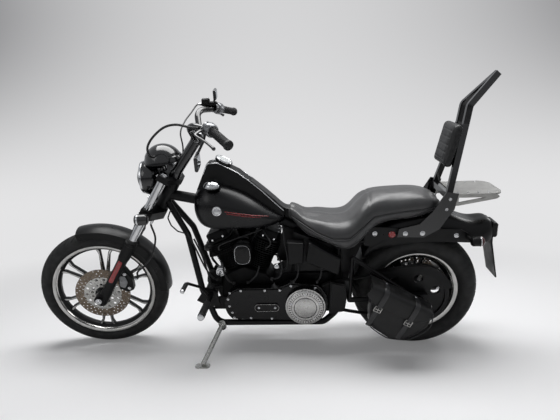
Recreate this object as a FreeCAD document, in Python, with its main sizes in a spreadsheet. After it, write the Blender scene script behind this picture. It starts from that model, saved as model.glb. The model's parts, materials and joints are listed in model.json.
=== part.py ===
import FreeCAD, Part
import math
import os
import re
import Sketcher
from FreeCAD import Placement, Rotation, Vector

# Cruiser motorcycle, parked on its side stand. Lengths are in millimetres.
# The machine is drawn upright: X runs to the rear, Y to the rider's right, Z up, with
# the wheels' contact line at Z 0 and the middle of the wheelbase at X 0.
# At the end the whole machine is leaned over until both tyres touch the ground.

doc = FreeCAD.newDocument("cruiser_motorcycle")
sheet = doc.addObject("Spreadsheet::Sheet", "sizes")

sizes = {
    # Chassis geometry
    "wheelbase": 1690,
    "lean_angle": 10.7,
    "bar_turn_angle": 8,
    "steering_stop_angle": 32,
    "rake_angle": 32,
    "trail": 132,
    "seat_gap": 0.3,
    "running_gap": 6,
    # Front wheel
    "front_tyre_radius": 345,
    "front_tyre_width": 96,
    "front_crown_drop": 24,
    "front_bead_radius": 267,
    "front_flange_height": 8,
    "front_bead_half": 33,
    "front_well_depth": 21,
    "front_hub_radius": 44,
    "front_hub_half": 60.7,
    "front_spoke_half": 11,
    "front_disc_radius": 146,
    "front_disc_band": 42,
    "front_disc_place": 61,
    "disc_thickness": 5,
    "front_axle_radius": 12,
    # Rear wheel
    "rear_tyre_radius": 326,
    "rear_tyre_width": 182,
    "rear_crown_drop": 38,
    "rear_bead_radius": 203,
    "rear_flange_height": 13,
    "rear_bead_half": 64,
    "rear_well_depth": 26,
    "rear_hub_radius": 56,
    "rear_hub_half": 92,
    "rear_spoke_half": 14,
    "rear_axle_radius": 13,
    "rear_disc_radius": 146,
    "tyre_wall": 9,
    "rim_wall": 6,
    "spoke_count": 6,
    # Belt drive
    "pulley_radius": 150,
    "sprocket_radius": 71,
    "belt_width": 24,
    "belt_thickness": 6,
    "belt_place": 109,
    "sprocket_x": 405,
    "sprocket_z": 330,
    # Fork and steering
    "fork_offset": 55,
    "fork_half": 105,
    "fork_tube_radius": 20.5,
    "slider_radius": 30,
    "slider_top": 747,
    "lower_clamp_low": 905,
    "lower_clamp_high": 950,
    "upper_clamp_low": 1118,
    "upper_clamp_high": 1148,
    "stem_radius": 14,
    "head_tube_radius": 33,
    "axle_lead": 16,
    "lamp_radius": 78,
    "lamp_x": -540,
    "lamp_z": 970,
    "lamp_depth": 84,
    "lamp_bulge": 9,
    "bar_radius": 16,
    "grip_radius": 19,
    "grip_length": 128,
    "bar_centre_x": -243,
    "bar_centre_z": 1163,
    "bar_bend_x": -260,
    "bar_bend_y": 196,
    "bar_bend_z": 1262,
    "bar_inner_x": -150,
    "bar_inner_y": 282,
    "bar_inner_z": 1250,
    "bar_end_x": -75,
    "bar_end_y": 402,
    "bar_end_z": 1209,
    "riser_half": 46,
    "riser_radius": 25,
    "front_fender_gap": 23,
    "front_fender_half": 66,
    "front_fender_skirt": 52,
    "fender_wall": 3,
    # Frame
    "tube_radius": 16,
    "backbone_radius": 27,
    "rail_half": 118,
    "rail_height": 180,
    "arm_place": 146,
    "arm_block_half": 14,
    "post_half": 76,
    "muffler_place": 216,
    "pivot_x": 423,
    "pivot_z": 323,
    "rear_post_x": 440,
    "rear_post_z": 606,
    # Engine
    "crank_x": -45,
    "crank_z": 330,
    "bank_angle": 22.5,
    "deck_height": 150,
    "barrel_radius": 58,
    "fin_radius": 74,
    "fin_pitch": 11,
    "fin_thickness": 3.5,
    "barrel_fins": 9,
    "head_fins": 6,
    "rocker_height": 52,
    "case_half": 92,
    "cover_depth": 66,
    "clutch_x": 267,
    "clutch_z": 304,
    "derby_radius": 93,
    "derby_place": 200,
    # Tank, seat and tail
    "tank_front_x": -284,
    "tank_rear_x": 176,
    "tank_half": 138,
    "console_half": 46,
    "seat_front_x": 194,
    "seat_rear_x": 935,
    "seat_half": 182,
    "fender_half": 112,
    "tail_half": 92,
    "strut_place": 122,
    "strut_wall": 8,
    "sissy_half": 132,
    "sissy_top_half": 46,
    "sissy_bar_half": 11,
    "pad_half": 96,
    "pad_height": 205,
    "pad_thickness": 44,
    "rack_half": 120,
    # Side stand and bag
    "stand_pivot_x": -176,
    "stand_pivot_y": -158,
    "stand_pivot_z": 190,
    "stand_foot_x": -250,
    "stand_foot_reach": 338,
    "stand_radius": 12,
    "bag_inner": 206,
    "bag_depth": 112,
    "bag_wall": 5,
    "battery_half": 99.7,
}

for row, (alias, number) in enumerate(sizes.items(), 1):
    sheet.set(f"A{row}", alias)
    sheet.set(f"B{row}", str(number))
    sheet.setAlias(f"B{row}", alias)
doc.recompute()


class SheetValues:
    """Reads a named cell of the sizes sheet as a number."""

    def __getattr__(self, alias):
        return float(sheet.get(alias))


v = SheetValues()
nodes = {}


def sheet_formula(text):
    """Puts the sheet's name before each alias of a formula."""
    return re.sub(r"[a-z][a-z_0-9]*", lambda word: f"sizes.{word[0]}" if word[0] in sizes else word[0], str(text))


def number_of(text):
    """The present value of a formula over the sheet's aliases."""
    return float(sheet.evalExpression(str(text)))


def node(name, item, local=None, group="chassis"):
    """Registers a finished sub-part. Its Placement is completed by stand_machine()."""
    item.Label = name
    nodes[name] = (item, local or Placement(), group)
    return item


def feature(name, shape, local=None, group="chassis"):
    """A sub-part whose shape is made with Part's own functions."""
    item = doc.addObject("Part::Feature", name)
    item.Shape = settled(shape)
    return node(name, item, local, group)


def settled(shape):
    """The same shape with its own placement worked into its geometry."""
    matrix = shape.Placement.toMatrix()
    plain = shape.copy()
    plain.Placement = Placement()
    return plain.transformed(matrix, True)


def combine(kind, links, name, members):
    """One node made of several pieces of the same body, which keep their places in it."""
    item = doc.addObject(kind, name)
    group = nodes[members[0]][2]
    pieces = []
    for member in members:
        piece, local, _ = nodes.pop(member)
        piece.Placement = local
        pieces.append(piece)
    setattr(item, links, pieces)
    item.Label = name
    nodes[name] = (item, Placement(), group)


def gather(name, members):
    """Like pieces that don't touch share a node."""
    combine("Part::Compound", "Links", name, members)


def weld(name, members):
    """Pieces that overlap are fused into one solid."""
    combine("Part::MultiFuse", "Shapes", name, members)


# Sketches and PartDesign bodies


def origin_part(body, role):
    """A plane or axis of the body's own origin."""
    return next(part for part in body.Origin.OriginFeatures if part.Role == role)


def sketch(body, plane, loops):
    """Sketch of closed loops. A loop is a circle (x, y, "circle", radius) or a list of corners.
    A corner is a pair of formulas, and a third word "arc" makes it the middle of an arc."""
    item = body.newObject("Sketcher::SketchObject", "Outline")
    item.AttachmentSupport = [(origin_part(body, plane), "")]
    item.MapMode = "FlatFace"
    rules = []
    for loop in loops:
        if len(loop) == 4 and loop[2] == "circle":
            rules += circle_rules(item, loop)
        else:
            rules += loop_rules(item, loop)
    places = item.addConstraint([rule for rule, _ in rules])
    for place, (_, text) in zip(places, rules):
        if text is not None:
            item.setExpression(f"Constraints[{place}]", sheet_formula(text))
    return item


def fixed_point(geometry, vertex, corner):
    """Rules that tie a vertex's two coordinates to their formulas."""
    return [(Sketcher.Constraint(kind, -1, 1, geometry, vertex, number_of(text)), text)
            for kind, text in (("DistanceX", corner[0]), ("DistanceY", corner[1]))]


def circle_rules(item, loop):
    """Adds a circle and returns the rules that fix it."""
    x, y, _, radius = loop
    circle = Part.Circle(Vector(number_of(x), number_of(y), 0), Vector(0, 0, 1), number_of(radius))
    index = item.addGeometry(circle, False)
    size = (Sketcher.Constraint("Radius", index, number_of(radius)), radius)
    return fixed_point(index, 3, (x, y)) + [size]


def loop_rules(item, loop):
    """Adds lines and arcs from corner to corner and returns the rules that fix them."""
    corners = [Vector(number_of(c[0]), number_of(c[1]), 0) for c in loop]
    rules = []
    placed = []
    at = 0
    while at < len(loop):
        middle = at + 1 if len(loop[(at + 1) % len(loop)]) == 3 else None
        end = (at + 2 if middle else at + 1) % len(loop)
        if middle is None:
            index = item.addGeometry(Part.LineSegment(corners[at], corners[end]), False)
            first = 1
        else:
            bow = (corners[middle] - corners[at]).cross(corners[end] - corners[at])
            ends = (corners[at], corners[end]) if bow.z > 0 else (corners[end], corners[at])
            index = item.addGeometry(Part.Arc(ends[0], corners[middle], ends[1]), False)
            first = 1 if bow.z > 0 else 2
            knob = item.addGeometry(Part.Point(corners[middle]), True)
            rules.append((Sketcher.Constraint("PointOnObject", knob, 1, index), None))
            rules += fixed_point(knob, 1, loop[middle])
        placed.append((index, first, 3 - first))
        rules += fixed_point(index, first, loop[at])
        at += 2 if middle else 1
    for (index, _, last), (following, first, _) in zip(placed, placed[1:] + placed[:1]):
        rules.append((Sketcher.Constraint("Coincident", index, last, following, first), None))
    return rules


def revolve(body, loops, plane="XY_Plane", axis="Y_Axis", angle=360):
    """Turns loops about an axis of the body's origin."""
    turned = body.newObject("PartDesign::Revolution", "Turned")
    turned.Profile = (sketch(body, plane, loops), [""])
    turned.ReferenceAxis = (origin_part(body, axis), [""])
    turned.Angle = angle
    return turned


def groove(body, loops, plane="XY_Plane", axis="Y_Axis"):
    """Turns loops about an axis and takes them away."""
    turned = body.newObject("PartDesign::Groove", "Turned_cut")
    turned.Profile = (sketch(body, plane, loops), [""])
    turned.ReferenceAxis = (origin_part(body, axis), [""])
    turned.Angle = 360
    return turned


def pad(body, loops, length, plane="XZ_Plane", start=0, both=False, taper=0):
    """Pushes loops out along the plane's normal, which points to the left for XZ_Plane."""
    outline = sketch(body, plane, loops)
    outline.setExpression("AttachmentOffset.Base.z", sheet_formula(start))
    raised = body.newObject("PartDesign::Pad", "Raised")
    raised.Profile = (outline, [""])
    raised.setExpression("Length", sheet_formula(length))
    raised.Midplane = both
    if taper:
        raised.TaperAngle = taper
    return raised


def pocket(body, loops, length, plane="XZ_Plane", start=0, both=False):
    """Cuts loops along the plane's normal, from start outwards."""
    outline = sketch(body, plane, loops)
    outline.setExpression("AttachmentOffset.Base.z", sheet_formula(start))
    cut = body.newObject("PartDesign::Pocket", "Cut")
    cut.Profile = (outline, [""])
    cut.setExpression("Length", sheet_formula(length))
    cut.Midplane = both
    cut.Reversed = True
    return cut


def polar(body, item, axis, count):
    """Repeats a feature round an axis of the body's origin."""
    ring = body.newObject("PartDesign::PolarPattern", "Ring")
    ring.Originals = [item]
    ring.Axis = (origin_part(body, axis), [""])
    ring.Angle = 360
    ring.setExpression("Occurrences", sheet_formula(count))
    body.Tip = ring
    return ring


def row(body, item, axis, count, length):
    """Repeats a feature along an axis of the body's origin."""
    line = body.newObject("PartDesign::LinearPattern", "Row")
    line.Originals = [item]
    line.Direction = (origin_part(body, axis), [""])
    line.setExpression("Length", sheet_formula(length))
    line.setExpression("Occurrences", sheet_formula(count))
    body.Tip = line
    return line


def soften(body, choose, radius):
    """Rounds the edges of the body's tip that choose() picks."""
    doc.recompute()
    base = body.Tip
    names = [f"Edge{i}" for i, edge in enumerate(base.Shape.Edges, 1) if choose(edge)]
    round_off = body.newObject("PartDesign::Fillet", "Rounded")
    round_off.Base = (base, names)
    round_off.setExpression("Radius", sheet_formula(radius))
    return round_off


def new_body(name):
    return doc.addObject("PartDesign::Body", name)


# Tubes, bars and lofts in the upright frame


def path_of(points, bend):
    """Straight runs joined by tangent arcs of radius bend, or less where a run is short."""
    points = [Vector(*p) for p in points]
    edges = []
    start = points[0]
    for before, corner, after in zip(points, points[1:], points[2:]):
        come = (corner - before).normalize()
        leave = (after - corner).normalize()
        half_turn = come.getAngle(leave) / 2
        room = 0.48 * min((corner - before).Length, (after - corner).Length)
        setback = min(bend * math.tan(half_turn), room)
        radius = setback / math.tan(half_turn)
        arc_start = corner - come * setback
        arc_end = corner + leave * setback
        inward = (leave - come).normalize()
        centre = corner + inward * (radius / math.cos(half_turn))
        middle = centre - inward * radius
        if (arc_start - start).Length > 1e-6:
            edges.append(Part.LineSegment(start, arc_start).toShape())
        edges.append(Part.Arc(arc_start, middle, arc_end).toShape())
        start = arc_end
    edges.append(Part.LineSegment(start, points[-1]).toShape())
    return Part.Wire(edges)


def tube(points, radius, bend=60):
    """Round bar or tube along a bent path."""
    spine = path_of(points, bend)
    run = Vector(*points[1]) - Vector(*points[0])
    ring = Part.Wire(Part.Circle(Vector(*points[0]), run, radius).toShape())
    return spine.makePipeShell([ring], True, True)


def rod(start, end, radius):
    """Straight round rod between two points."""
    run = Vector(*end) - Vector(*start)
    return Part.makeCylinder(radius, run.Length, Vector(*start), run)


def mirrored(shape):
    """The same shape on the other side of the machine."""
    return shape.mirror(Vector(0, 0, 0), Vector(0, 1, 0))


def both_sides(shape):
    """A shape and its mirror image as one compound."""
    return Part.makeCompound([shape, mirrored(shape)])


def plate(outline, inner, outer):
    """Flat piece cut to an outline of (x, z) corners, between two places across the machine."""
    corners = [Vector(x, inner, z) for x, z in outline]
    face = Part.Face(Part.makePolygon(corners + corners[:1]))
    return face.extrude(Vector(0, outer - inner, 0))


def smooth_ring(points):
    """Closed smooth curve through points."""
    curve = Part.BSplineCurve()
    curve.interpolate(Points=[Vector(*p) for p in points], PeriodicFlag=True)
    return Part.Wire(curve.toShape())


def loft(sections):
    """Smooth solid through closed curves."""
    return Part.makeLoft(sections, True, False)


def join(shapes):
    """One solid made of shapes that overlap."""
    result = shapes[0].fuse(shapes[1:])
    return result.removeSplitter()


# Reference points that several pieces share

rake = math.radians(v.rake_angle)
front_axle = Vector(-v.wheelbase / 2, 0, v.front_tyre_radius)
rear_axle = Vector(v.wheelbase / 2, 0, v.rear_tyre_radius)
steer_ground = Vector(-v.wheelbase / 2 - v.trail, 0, 0)
steer_axis = Vector(math.sin(rake), 0, math.cos(rake))
steer_frame = Placement(steer_ground, Rotation(Vector(0, 1, 0), v.rake_angle))
# Height of the front axle along the steering axis, and its offset ahead of that axis
axle_along = v.trail * math.sin(rake) + v.front_tyre_radius * math.cos(rake)
axle_ahead = v.front_tyre_radius * math.sin(rake) - v.trail * math.cos(rake)


def steer_point(ahead, across, along):
    """Point of the steering group: distance ahead of the steering axis, across, and up along it."""
    return steer_frame.multVec(Vector(-ahead, across, along))


def stand_machine():
    """Leans the machine until both tyres touch the ground, with the bars turned to the left."""
    lean = math.radians(v.lean_angle)
    steer_turn = Placement(Vector(), Rotation(steer_axis, v.bar_turn_angle), steer_ground)

    def tyre_low(pose, axle, end, turned):
        """Lowest point of a leaned tyre, as a ring of its crown's radius."""
        place = pose.multiply(steer_turn) if turned else pose
        centre = place.multVec(axle)
        across = place.Rotation.multVec(Vector(0, 1, 0))
        drop = number_of(f"{end}_crown_drop")
        half = number_of(f"{end}_tyre_width / 2 - 5")
        crown = (half**2 + drop**2) / (2 * drop)
        ring = number_of(f"{end}_tyre_radius") - crown
        return centre.z - ring * math.sqrt(1 - across.z**2) - crown

    pitch = 0.0
    lift = 0.0
    for _ in range(6):
        pose = Placement(Vector(0, 0, lift), Rotation(Vector(1, 0, 0), math.degrees(lean)))
        pose = pose.multiply(Placement(Vector(), Rotation(Vector(0, 1, 0), math.degrees(pitch))))
        front = tyre_low(pose, front_axle, "front", True)
        rear = tyre_low(pose, rear_axle, "rear", False)
        pitch += (rear - front) / v.wheelbase
        lift -= (rear + front) / 2
    return pose, steer_turn


stance, steer_turn = stand_machine()

# The side stand's foot on the ground, and the slanted axis that folds the leg back under the frame.
stand_pivot = Vector(v.stand_pivot_x, v.stand_pivot_y, v.stand_pivot_z)
stand_foot = stance.inverse().multVec(Vector(v.stand_foot_x, -v.stand_foot_reach, v.stand_radius + 3))
stand_folded = Vector(225, -25, -12)
stand_axis = (stand_foot - stand_pivot).cross(stand_folded).normalize()
stand_fold_angle = math.degrees((stand_foot - stand_pivot).getAngle(stand_folded))

# Wheels


def tyre(name, end, group, place):
    """Hollow tyre: a round crown between two bulged sidewalls that sit on the rim's beads."""
    shoulder = f"({end}_tyre_width / 2 - 5)"
    drop = f"({end}_tyre_radius - {end}_crown_drop)"
    lip = f"({end}_bead_radius + {end}_flange_height + 1)"
    bulge = f"({lip} + 0.45 * ({drop} - {lip}))"
    outer = [
        (f"{end}_bead_radius", f"-{end}_bead_half"),
        (lip, f"-{end}_bead_half"),
        (bulge, f"-{end}_tyre_width / 2", "arc"),
        (drop, f"-{shoulder}"),
        (f"{end}_tyre_radius", "0", "arc"),
        (drop, shoulder),
        (bulge, f"{end}_tyre_width / 2", "arc"),
        (lip, f"{end}_bead_half"),
        (f"{end}_bead_radius", f"{end}_bead_half"),
    ]
    inner = [
        (f"{end}_bead_radius", f"{end}_bead_half - tyre_wall"),
        (lip, f"{end}_bead_half - tyre_wall"),
        (bulge, f"{end}_tyre_width / 2 - tyre_wall", "arc"),
        (f"{drop} - tyre_wall", f"{shoulder} - tyre_wall"),
        (f"{end}_tyre_radius - 1.3 * tyre_wall", "0", "arc"),
        (f"{drop} - tyre_wall", f"tyre_wall - {shoulder}"),
        (bulge, f"tyre_wall - {end}_tyre_width / 2", "arc"),
        (lip, f"tyre_wall - {end}_bead_half"),
        (f"{end}_bead_radius", f"tyre_wall - {end}_bead_half"),
    ]
    body = new_body(name)
    revolve(body, [outer + inner])
    return node(name, body, Placement(place, Rotation()), group)


def rim(name, end, group, place):
    """Cast wheel: hub, split spokes and a drop-centre rim with polished flanges."""
    bead = f"({end}_bead_radius - seat_gap)"
    flange = f"({end}_bead_radius + {end}_flange_height)"
    well = f"({end}_bead_radius - {end}_well_depth)"
    inside = f"({well} - rim_wall)"
    seat = f"({end}_bead_half + seat_gap)"
    edge = f"({end}_bead_half + rim_wall + 1)"
    well_half = f"(0.35 * {end}_bead_half)"
    axle = f"({end}_axle_radius + 0.5)"
    hub = f"{end}_hub_radius"
    hub_half = f"{end}_hub_half"
    body = new_body(name)
    revolve(body, [[
        (axle, f"-{hub_half}"), (f"0.7 * {hub}", f"-{hub_half}"), (hub, f"-0.6 * {hub_half}"),
        (hub, f"0.6 * {hub_half}"), (f"0.7 * {hub}", hub_half), (axle, hub_half)]])
    reach = f"({inside} + 0.5 * rim_wall)"
    root = f"(0.8 * {hub})"
    spoke = [
        ("-0.26 * " + hub, root), ("0.26 * " + hub, root), (f"0.15 * {reach}", reach), (f"-0.15 * {reach}", reach)]
    slot = [
        (f"-0.012 * {reach}", f"0.4 * {reach}"), (f"0.012 * {reach}", f"0.4 * {reach}"),
        (f"0.085 * {reach}", f"{inside} - rim_wall"), (f"-0.085 * {reach}", f"{inside} - rim_wall")]
    arm = pad(body, [spoke, slot], f"2 * {end}_spoke_half", both=True)
    doc.recompute()
    polar(body, arm, "Y_Axis", "spoke_count")
    revolve(body, [[
        (flange, f"-{edge}"), (flange, f"-{seat}"), (bead, f"-{seat}"), (bead, f"4 - 0.7 * {end}_bead_half"),
        (well, f"-{well_half}"), (well, well_half), (bead, f"0.7 * {end}_bead_half - 4"), (bead, seat),
        (flange, seat), (flange, edge), (f"{bead} - rim_wall", edge),
        (f"{bead} - rim_wall", f"0.7 * {end}_bead_half"), (inside, f"{well_half} + 3"),
        (inside, f"-{well_half} - 3"), (f"{bead} - rim_wall", f"-0.7 * {end}_bead_half"),
        (f"{bead} - rim_wall", f"-{edge}")]])
    return node(name, body, Placement(place, Rotation(Vector(0, 1, 0), 8)), group)


def brake_disc(name, end, group, place, side):
    """Brake rotor with a slotted carrier that bolts to the hub's flange."""
    outer = f"{end}_disc_radius"
    body = new_body(name)
    revolve(body, [[(f"0.62 * {end}_hub_radius", "0"), (outer, "0"), (outer, "disc_thickness"),
                    (f"0.62 * {end}_hub_radius", "disc_thickness")]])
    window = [(f"-0.1 * {outer}", f"0.5 * {outer}"), (f"0.1 * {outer}", f"0.5 * {outer}"),
              (f"0.14 * {outer}", f"0.66 * {outer}"), (f"-0.14 * {outer}", f"0.66 * {outer}")]
    cut = pocket(body, [window], "4 * disc_thickness", both=True)
    doc.recompute()
    polar(body, cut, "Y_Axis", "6")
    return node(name, body, Placement(place + Vector(0, side, 0), Rotation()), group)


tyre("front_tyre", "front", "front_wheel", front_axle)
rim("front_rim", "front", "front_wheel", front_axle)
brake_disc("front_brake_disc", "front", "front_wheel", front_axle, -v.front_disc_place - v.disc_thickness)
tyre("rear_tyre", "rear", "rear_wheel", rear_axle)
rim("rear_rim", "rear", "rear_wheel", rear_axle)
brake_disc("rear_brake_disc", "rear", "rear_wheel", rear_axle, v.rear_hub_half + v.seat_gap)


def drive_belt():
    """Toothed belt round the wheel's pulley and the gearbox sprocket, and the pulley itself."""
    pulley = new_body("drive_pulley")
    revolve(pulley, [[
        ("rear_axle_radius + 0.5", "rear_hub_half + seat_gap"),
        ("pulley_radius + 6", "rear_hub_half + seat_gap"),
        ("pulley_radius + 6", "belt_place - belt_width / 2 - 1"),
        ("pulley_radius", "belt_place - belt_width / 2 - 1"),
        ("pulley_radius", "belt_place + belt_width / 2 + 1"),
        ("pulley_radius - 14", "belt_place + belt_width / 2 + 1"),
        ("pulley_radius - 14", "belt_place + 4"),
        ("rear_axle_radius + 0.5", "belt_place + 4")]])
    hole = pocket(pulley, [("0", "0.62 * pulley_radius", "circle", "0.16 * pulley_radius")],
                  "2 * belt_place + 2 * belt_width", both=True)
    doc.recompute()
    polar(pulley, hole, "Y_Axis", "5")
    turn = Rotation(Vector(0, 0, 1), 180)
    node("drive_pulley", pulley, Placement(rear_axle, turn), "rear_wheel")

    gap = 1.0
    small = v.sprocket_radius
    big = v.pulley_radius + gap
    run = Vector(v.sprocket_x - rear_axle.x, 0, v.sprocket_z - rear_axle.z)
    tilt = math.asin((big - small) / run.Length)
    heading = math.atan2(run.z, run.x)

    def loop(extra):
        edges = []
        ends = []
        for centre, radius in ((rear_axle, big + extra), (Vector(v.sprocket_x, 0, v.sprocket_z), small + extra)):
            up = heading - math.pi / 2 + tilt
            down = heading + math.pi / 2 - tilt
            top = centre + Vector(math.cos(up), 0, math.sin(up)) * radius
            bottom = centre + Vector(math.cos(down), 0, math.sin(down)) * radius
            ends.append((centre, radius, top, bottom))
        (c1, r1, t1, b1), (c2, r2, t2, b2) = ends
        away = (c1 - c2).normalize()
        edges.append(Part.LineSegment(t1, t2).toShape())
        edges.append(Part.Arc(t2, c2 - away * r2, b2).toShape())
        edges.append(Part.LineSegment(b2, b1).toShape())
        edges.append(Part.Arc(b1, c1 + away * r1, t1).toShape())
        return Part.Wire(edges)

    outer = Part.Face(loop(v.belt_thickness)).extrude(Vector(0, v.belt_width, 0))
    inner = Part.Face(loop(0)).extrude(Vector(0, v.belt_width, 0))
    belt = outer.cut(inner)
    belt.translate(Vector(0, -v.belt_place - v.belt_width / 2, 0))
    feature("drive_belt", belt)
    guard = Part.Face(loop(v.belt_thickness + 16)).extrude(Vector(0, v.belt_width + 11, 0))
    hollow = Part.Face(loop(v.belt_thickness + 10)).extrude(Vector(0, v.belt_width + 20, 0))
    hollow.translate(Vector(0, 3, 0))
    window = Part.Face(loop(-22)).extrude(Vector(0, 20, 0))
    window.translate(Vector(0, -5, 0))
    guard = guard.cut(hollow).cut(window)
    guard.translate(Vector(0, -v.belt_place - v.belt_width / 2 - 10, 0))
    lug = rod((640, -v.belt_place - v.belt_width / 2 - 9, 463), (640, -v.arm_place + 10 + v.seat_gap, 463), 6)
    centre = Vector(v.sprocket_x, 0, v.sprocket_z)
    inner = -v.belt_place + v.belt_width / 2
    disc = rod(centre + Vector(0, inner, 0), centre - Vector(0, v.belt_place + v.belt_width / 2, 0),
               v.sprocket_radius - v.seat_gap)
    shaft = rod(centre - Vector(0, v.case_half - 10 + v.seat_gap, 0),
                centre - Vector(0, v.belt_place + v.belt_width / 2 + 8 - v.seat_gap, 0), 18)
    feature("drive_sprocket", join([disc, shaft]))
    clip = plate([(606, 380), (606, 560), (1100, 560), (1100, 372), (845, 372)], -200, 0)
    feature("belt_guard", settled(guard).common(clip).fuse(lug))


drive_belt()


# Fork and steering


def fork():
    """Telescopic fork: clamps with stem, steel tubes and cast sliders that carry the axle."""
    lower = new_body("triple_clamps")
    spread = "fork_half"
    arm = [("-fork_offset - 30", "-fork_half - 24"), ("-fork_offset + 30", "-fork_half - 30"),
           ("36", "-30"), ("36", "30"), ("-fork_offset + 30", "fork_half + 30"),
           ("-fork_offset - 30", "fork_half + 24"), ("-fork_offset - 20", "0", "arc")]
    pad(lower, [arm], "lower_clamp_high - lower_clamp_low", "XY_Plane", "lower_clamp_low")
    pad(lower, [("0", "0", "circle", "stem_radius")], "upper_clamp_high - lower_clamp_low", "XY_Plane",
        "lower_clamp_low")
    pad(lower, [arm], "upper_clamp_high - upper_clamp_low", "XY_Plane", "upper_clamp_low")
    for side in ("", "-"):
        hole = ("-fork_offset", f"{side}{spread}", "circle", "fork_tube_radius + seat_gap")
        pocket(lower, [hole], "upper_clamp_high - lower_clamp_low + 2", "XY_Plane", "lower_clamp_low - 1")
    node("triple_clamps", lower, steer_frame, "steering")

    tube_low = axle_along + 200
    top = v.upper_clamp_high + 8
    leg = rod((-v.fork_offset, -v.fork_half, tube_low), (-v.fork_offset, -v.fork_half, top), v.fork_tube_radius)
    cap = rod((-v.fork_offset, -v.fork_half, top), (-v.fork_offset, -v.fork_half, top + 6), 15)
    feature("fork_tubes", both_sides(join([leg, cap])), steer_frame, "steering")

    shell = new_body("fork_slider_shape")
    low = axle_along - 34
    bore = "fork_tube_radius + seat_gap"
    revolve(shell, [[
        ("0", f"{low}"), ("24", f"{low}"), ("28", f"{low + 12}"), ("28", f"{axle_along + 40}"),
        ("25", f"{axle_along + 70}"), ("25", "slider_top - 130"), ("slider_radius", "slider_top - 100"),
        ("slider_radius", "slider_top - 22"), ("slider_radius + 2", "slider_top - 20"),
        ("slider_radius + 2", "slider_top - 6"), ("fork_tube_radius + 5", "slider_top"), (bore, "slider_top"),
        (bore, f"{tube_low - 1}"), ("0", f"{tube_low - 1}")]], "XZ_Plane", "Z_Axis")
    doc.recompute()
    slider = shell.Shape.copy()
    slider.Placement = Placement(Vector(-v.fork_offset, -v.fork_half, 0), Rotation())
    lug = rod((-axle_ahead, -v.fork_half - 30, axle_along), (-axle_ahead, -v.fork_half + 30, axle_along), 26)
    eye = rod((-axle_ahead, -v.fork_half - 40, axle_along), (-axle_ahead, -v.fork_half + 40, axle_along),
              v.front_axle_radius + v.seat_gap)
    leg = join([slider, lug]).cut(eye)
    feature("fork_sliders", both_sides(leg), steer_frame, "steering")

    hub_end = v.front_hub_half + 0.5
    lug_face = v.fork_half - 30 - v.seat_gap
    pin = rod((0, -v.fork_half - 32, 0), (0, v.fork_half + 32, 0), v.front_axle_radius)
    spacer = rod((0, hub_end, 0), (0, lug_face, 0), 19)
    nut = rod((0, v.fork_half + 30 + v.seat_gap, 0), (0, v.fork_half + 42, 0), 17)
    axle = join([pin, spacer, mirrored(spacer), nut, mirrored(nut)])
    feature("front_axle", axle, Placement(front_axle, Rotation()), "steering")


fork()


def headlamp():
    """Bucket lamp with a raised brow cowl over it, held between the fork legs."""
    body = new_body("headlamp")
    revolve(body, [[
        ("0", "-16"), ("0.35 * lamp_radius", "-16"), ("0.7 * lamp_radius", "-10", "arc"), ("lamp_radius - 6", "0"),
        ("lamp_radius", "0"), ("lamp_radius + lamp_bulge", "22"), ("lamp_radius + lamp_bulge - 2", "58"),
        ("0.66 * lamp_radius", "0.86 * lamp_depth", "arc"), ("0.3 * lamp_radius", "lamp_depth"),
        ("0", "lamp_depth")]], "XZ_Plane", "Z_Axis")
    node("headlamp", body, Placement(Vector(v.lamp_x, 0, v.lamp_z), Rotation(Vector(0, 1, 0), 90)), "steering")
    cowl = ellipsoid((-428, 0, 1040), (94, 92, 98))
    inside = ellipsoid((-428, 0, 1040), (90, 88, 94))
    keep = plate([(-530, 1066), (-430, 1071), (-336, 1080), (-336, 1200), (-530, 1200)], -150, 150)
    shell = cowl.cut(inside).common(keep)
    bucket = rod((v.lamp_x - 20, 0, v.lamp_z), (v.lamp_x + 80, 0, v.lamp_z), v.lamp_radius + v.lamp_bulge + v.seat_gap)
    web = plate([(-522, 1040), (-488, 1040), (-488, 1140), (-522, 1140)], -14, 14).common(cowl).cut(bucket)
    ear = rod((v.lamp_x + 52, -v.lamp_radius + 14, v.lamp_z), steer_point(v.fork_offset, -v.fork_half, 1095), 9)
    leg = rod(steer_point(v.fork_offset, -v.fork_half, 900), steer_point(v.fork_offset, -v.fork_half, 1148),
              v.fork_tube_radius + v.seat_gap)
    bucket_inside = rod((v.lamp_x - 20, 0, v.lamp_z), (v.lamp_x + 80, 0, v.lamp_z), v.lamp_radius + v.lamp_bulge - 1)
    ear = ear.cut(leg).cut(bucket_inside).Solids
    ear = max(ear, key=lambda solid: solid.Volume)
    feature("headlamp_ears", both_sides(ear), None, "steering")
    feature("headlamp_cowl", shell.fuse(web), None, "steering")


def ellipsoid(centre, radii):
    """Egg shape with its own radius along each axis."""
    ball = Part.makeSphere(1)
    stretch = FreeCAD.Matrix()
    stretch.scale(Vector(*radii))
    egg = ball.transformGeometry(stretch)
    egg.translate(Vector(*centre))
    return egg


headlamp()


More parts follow.
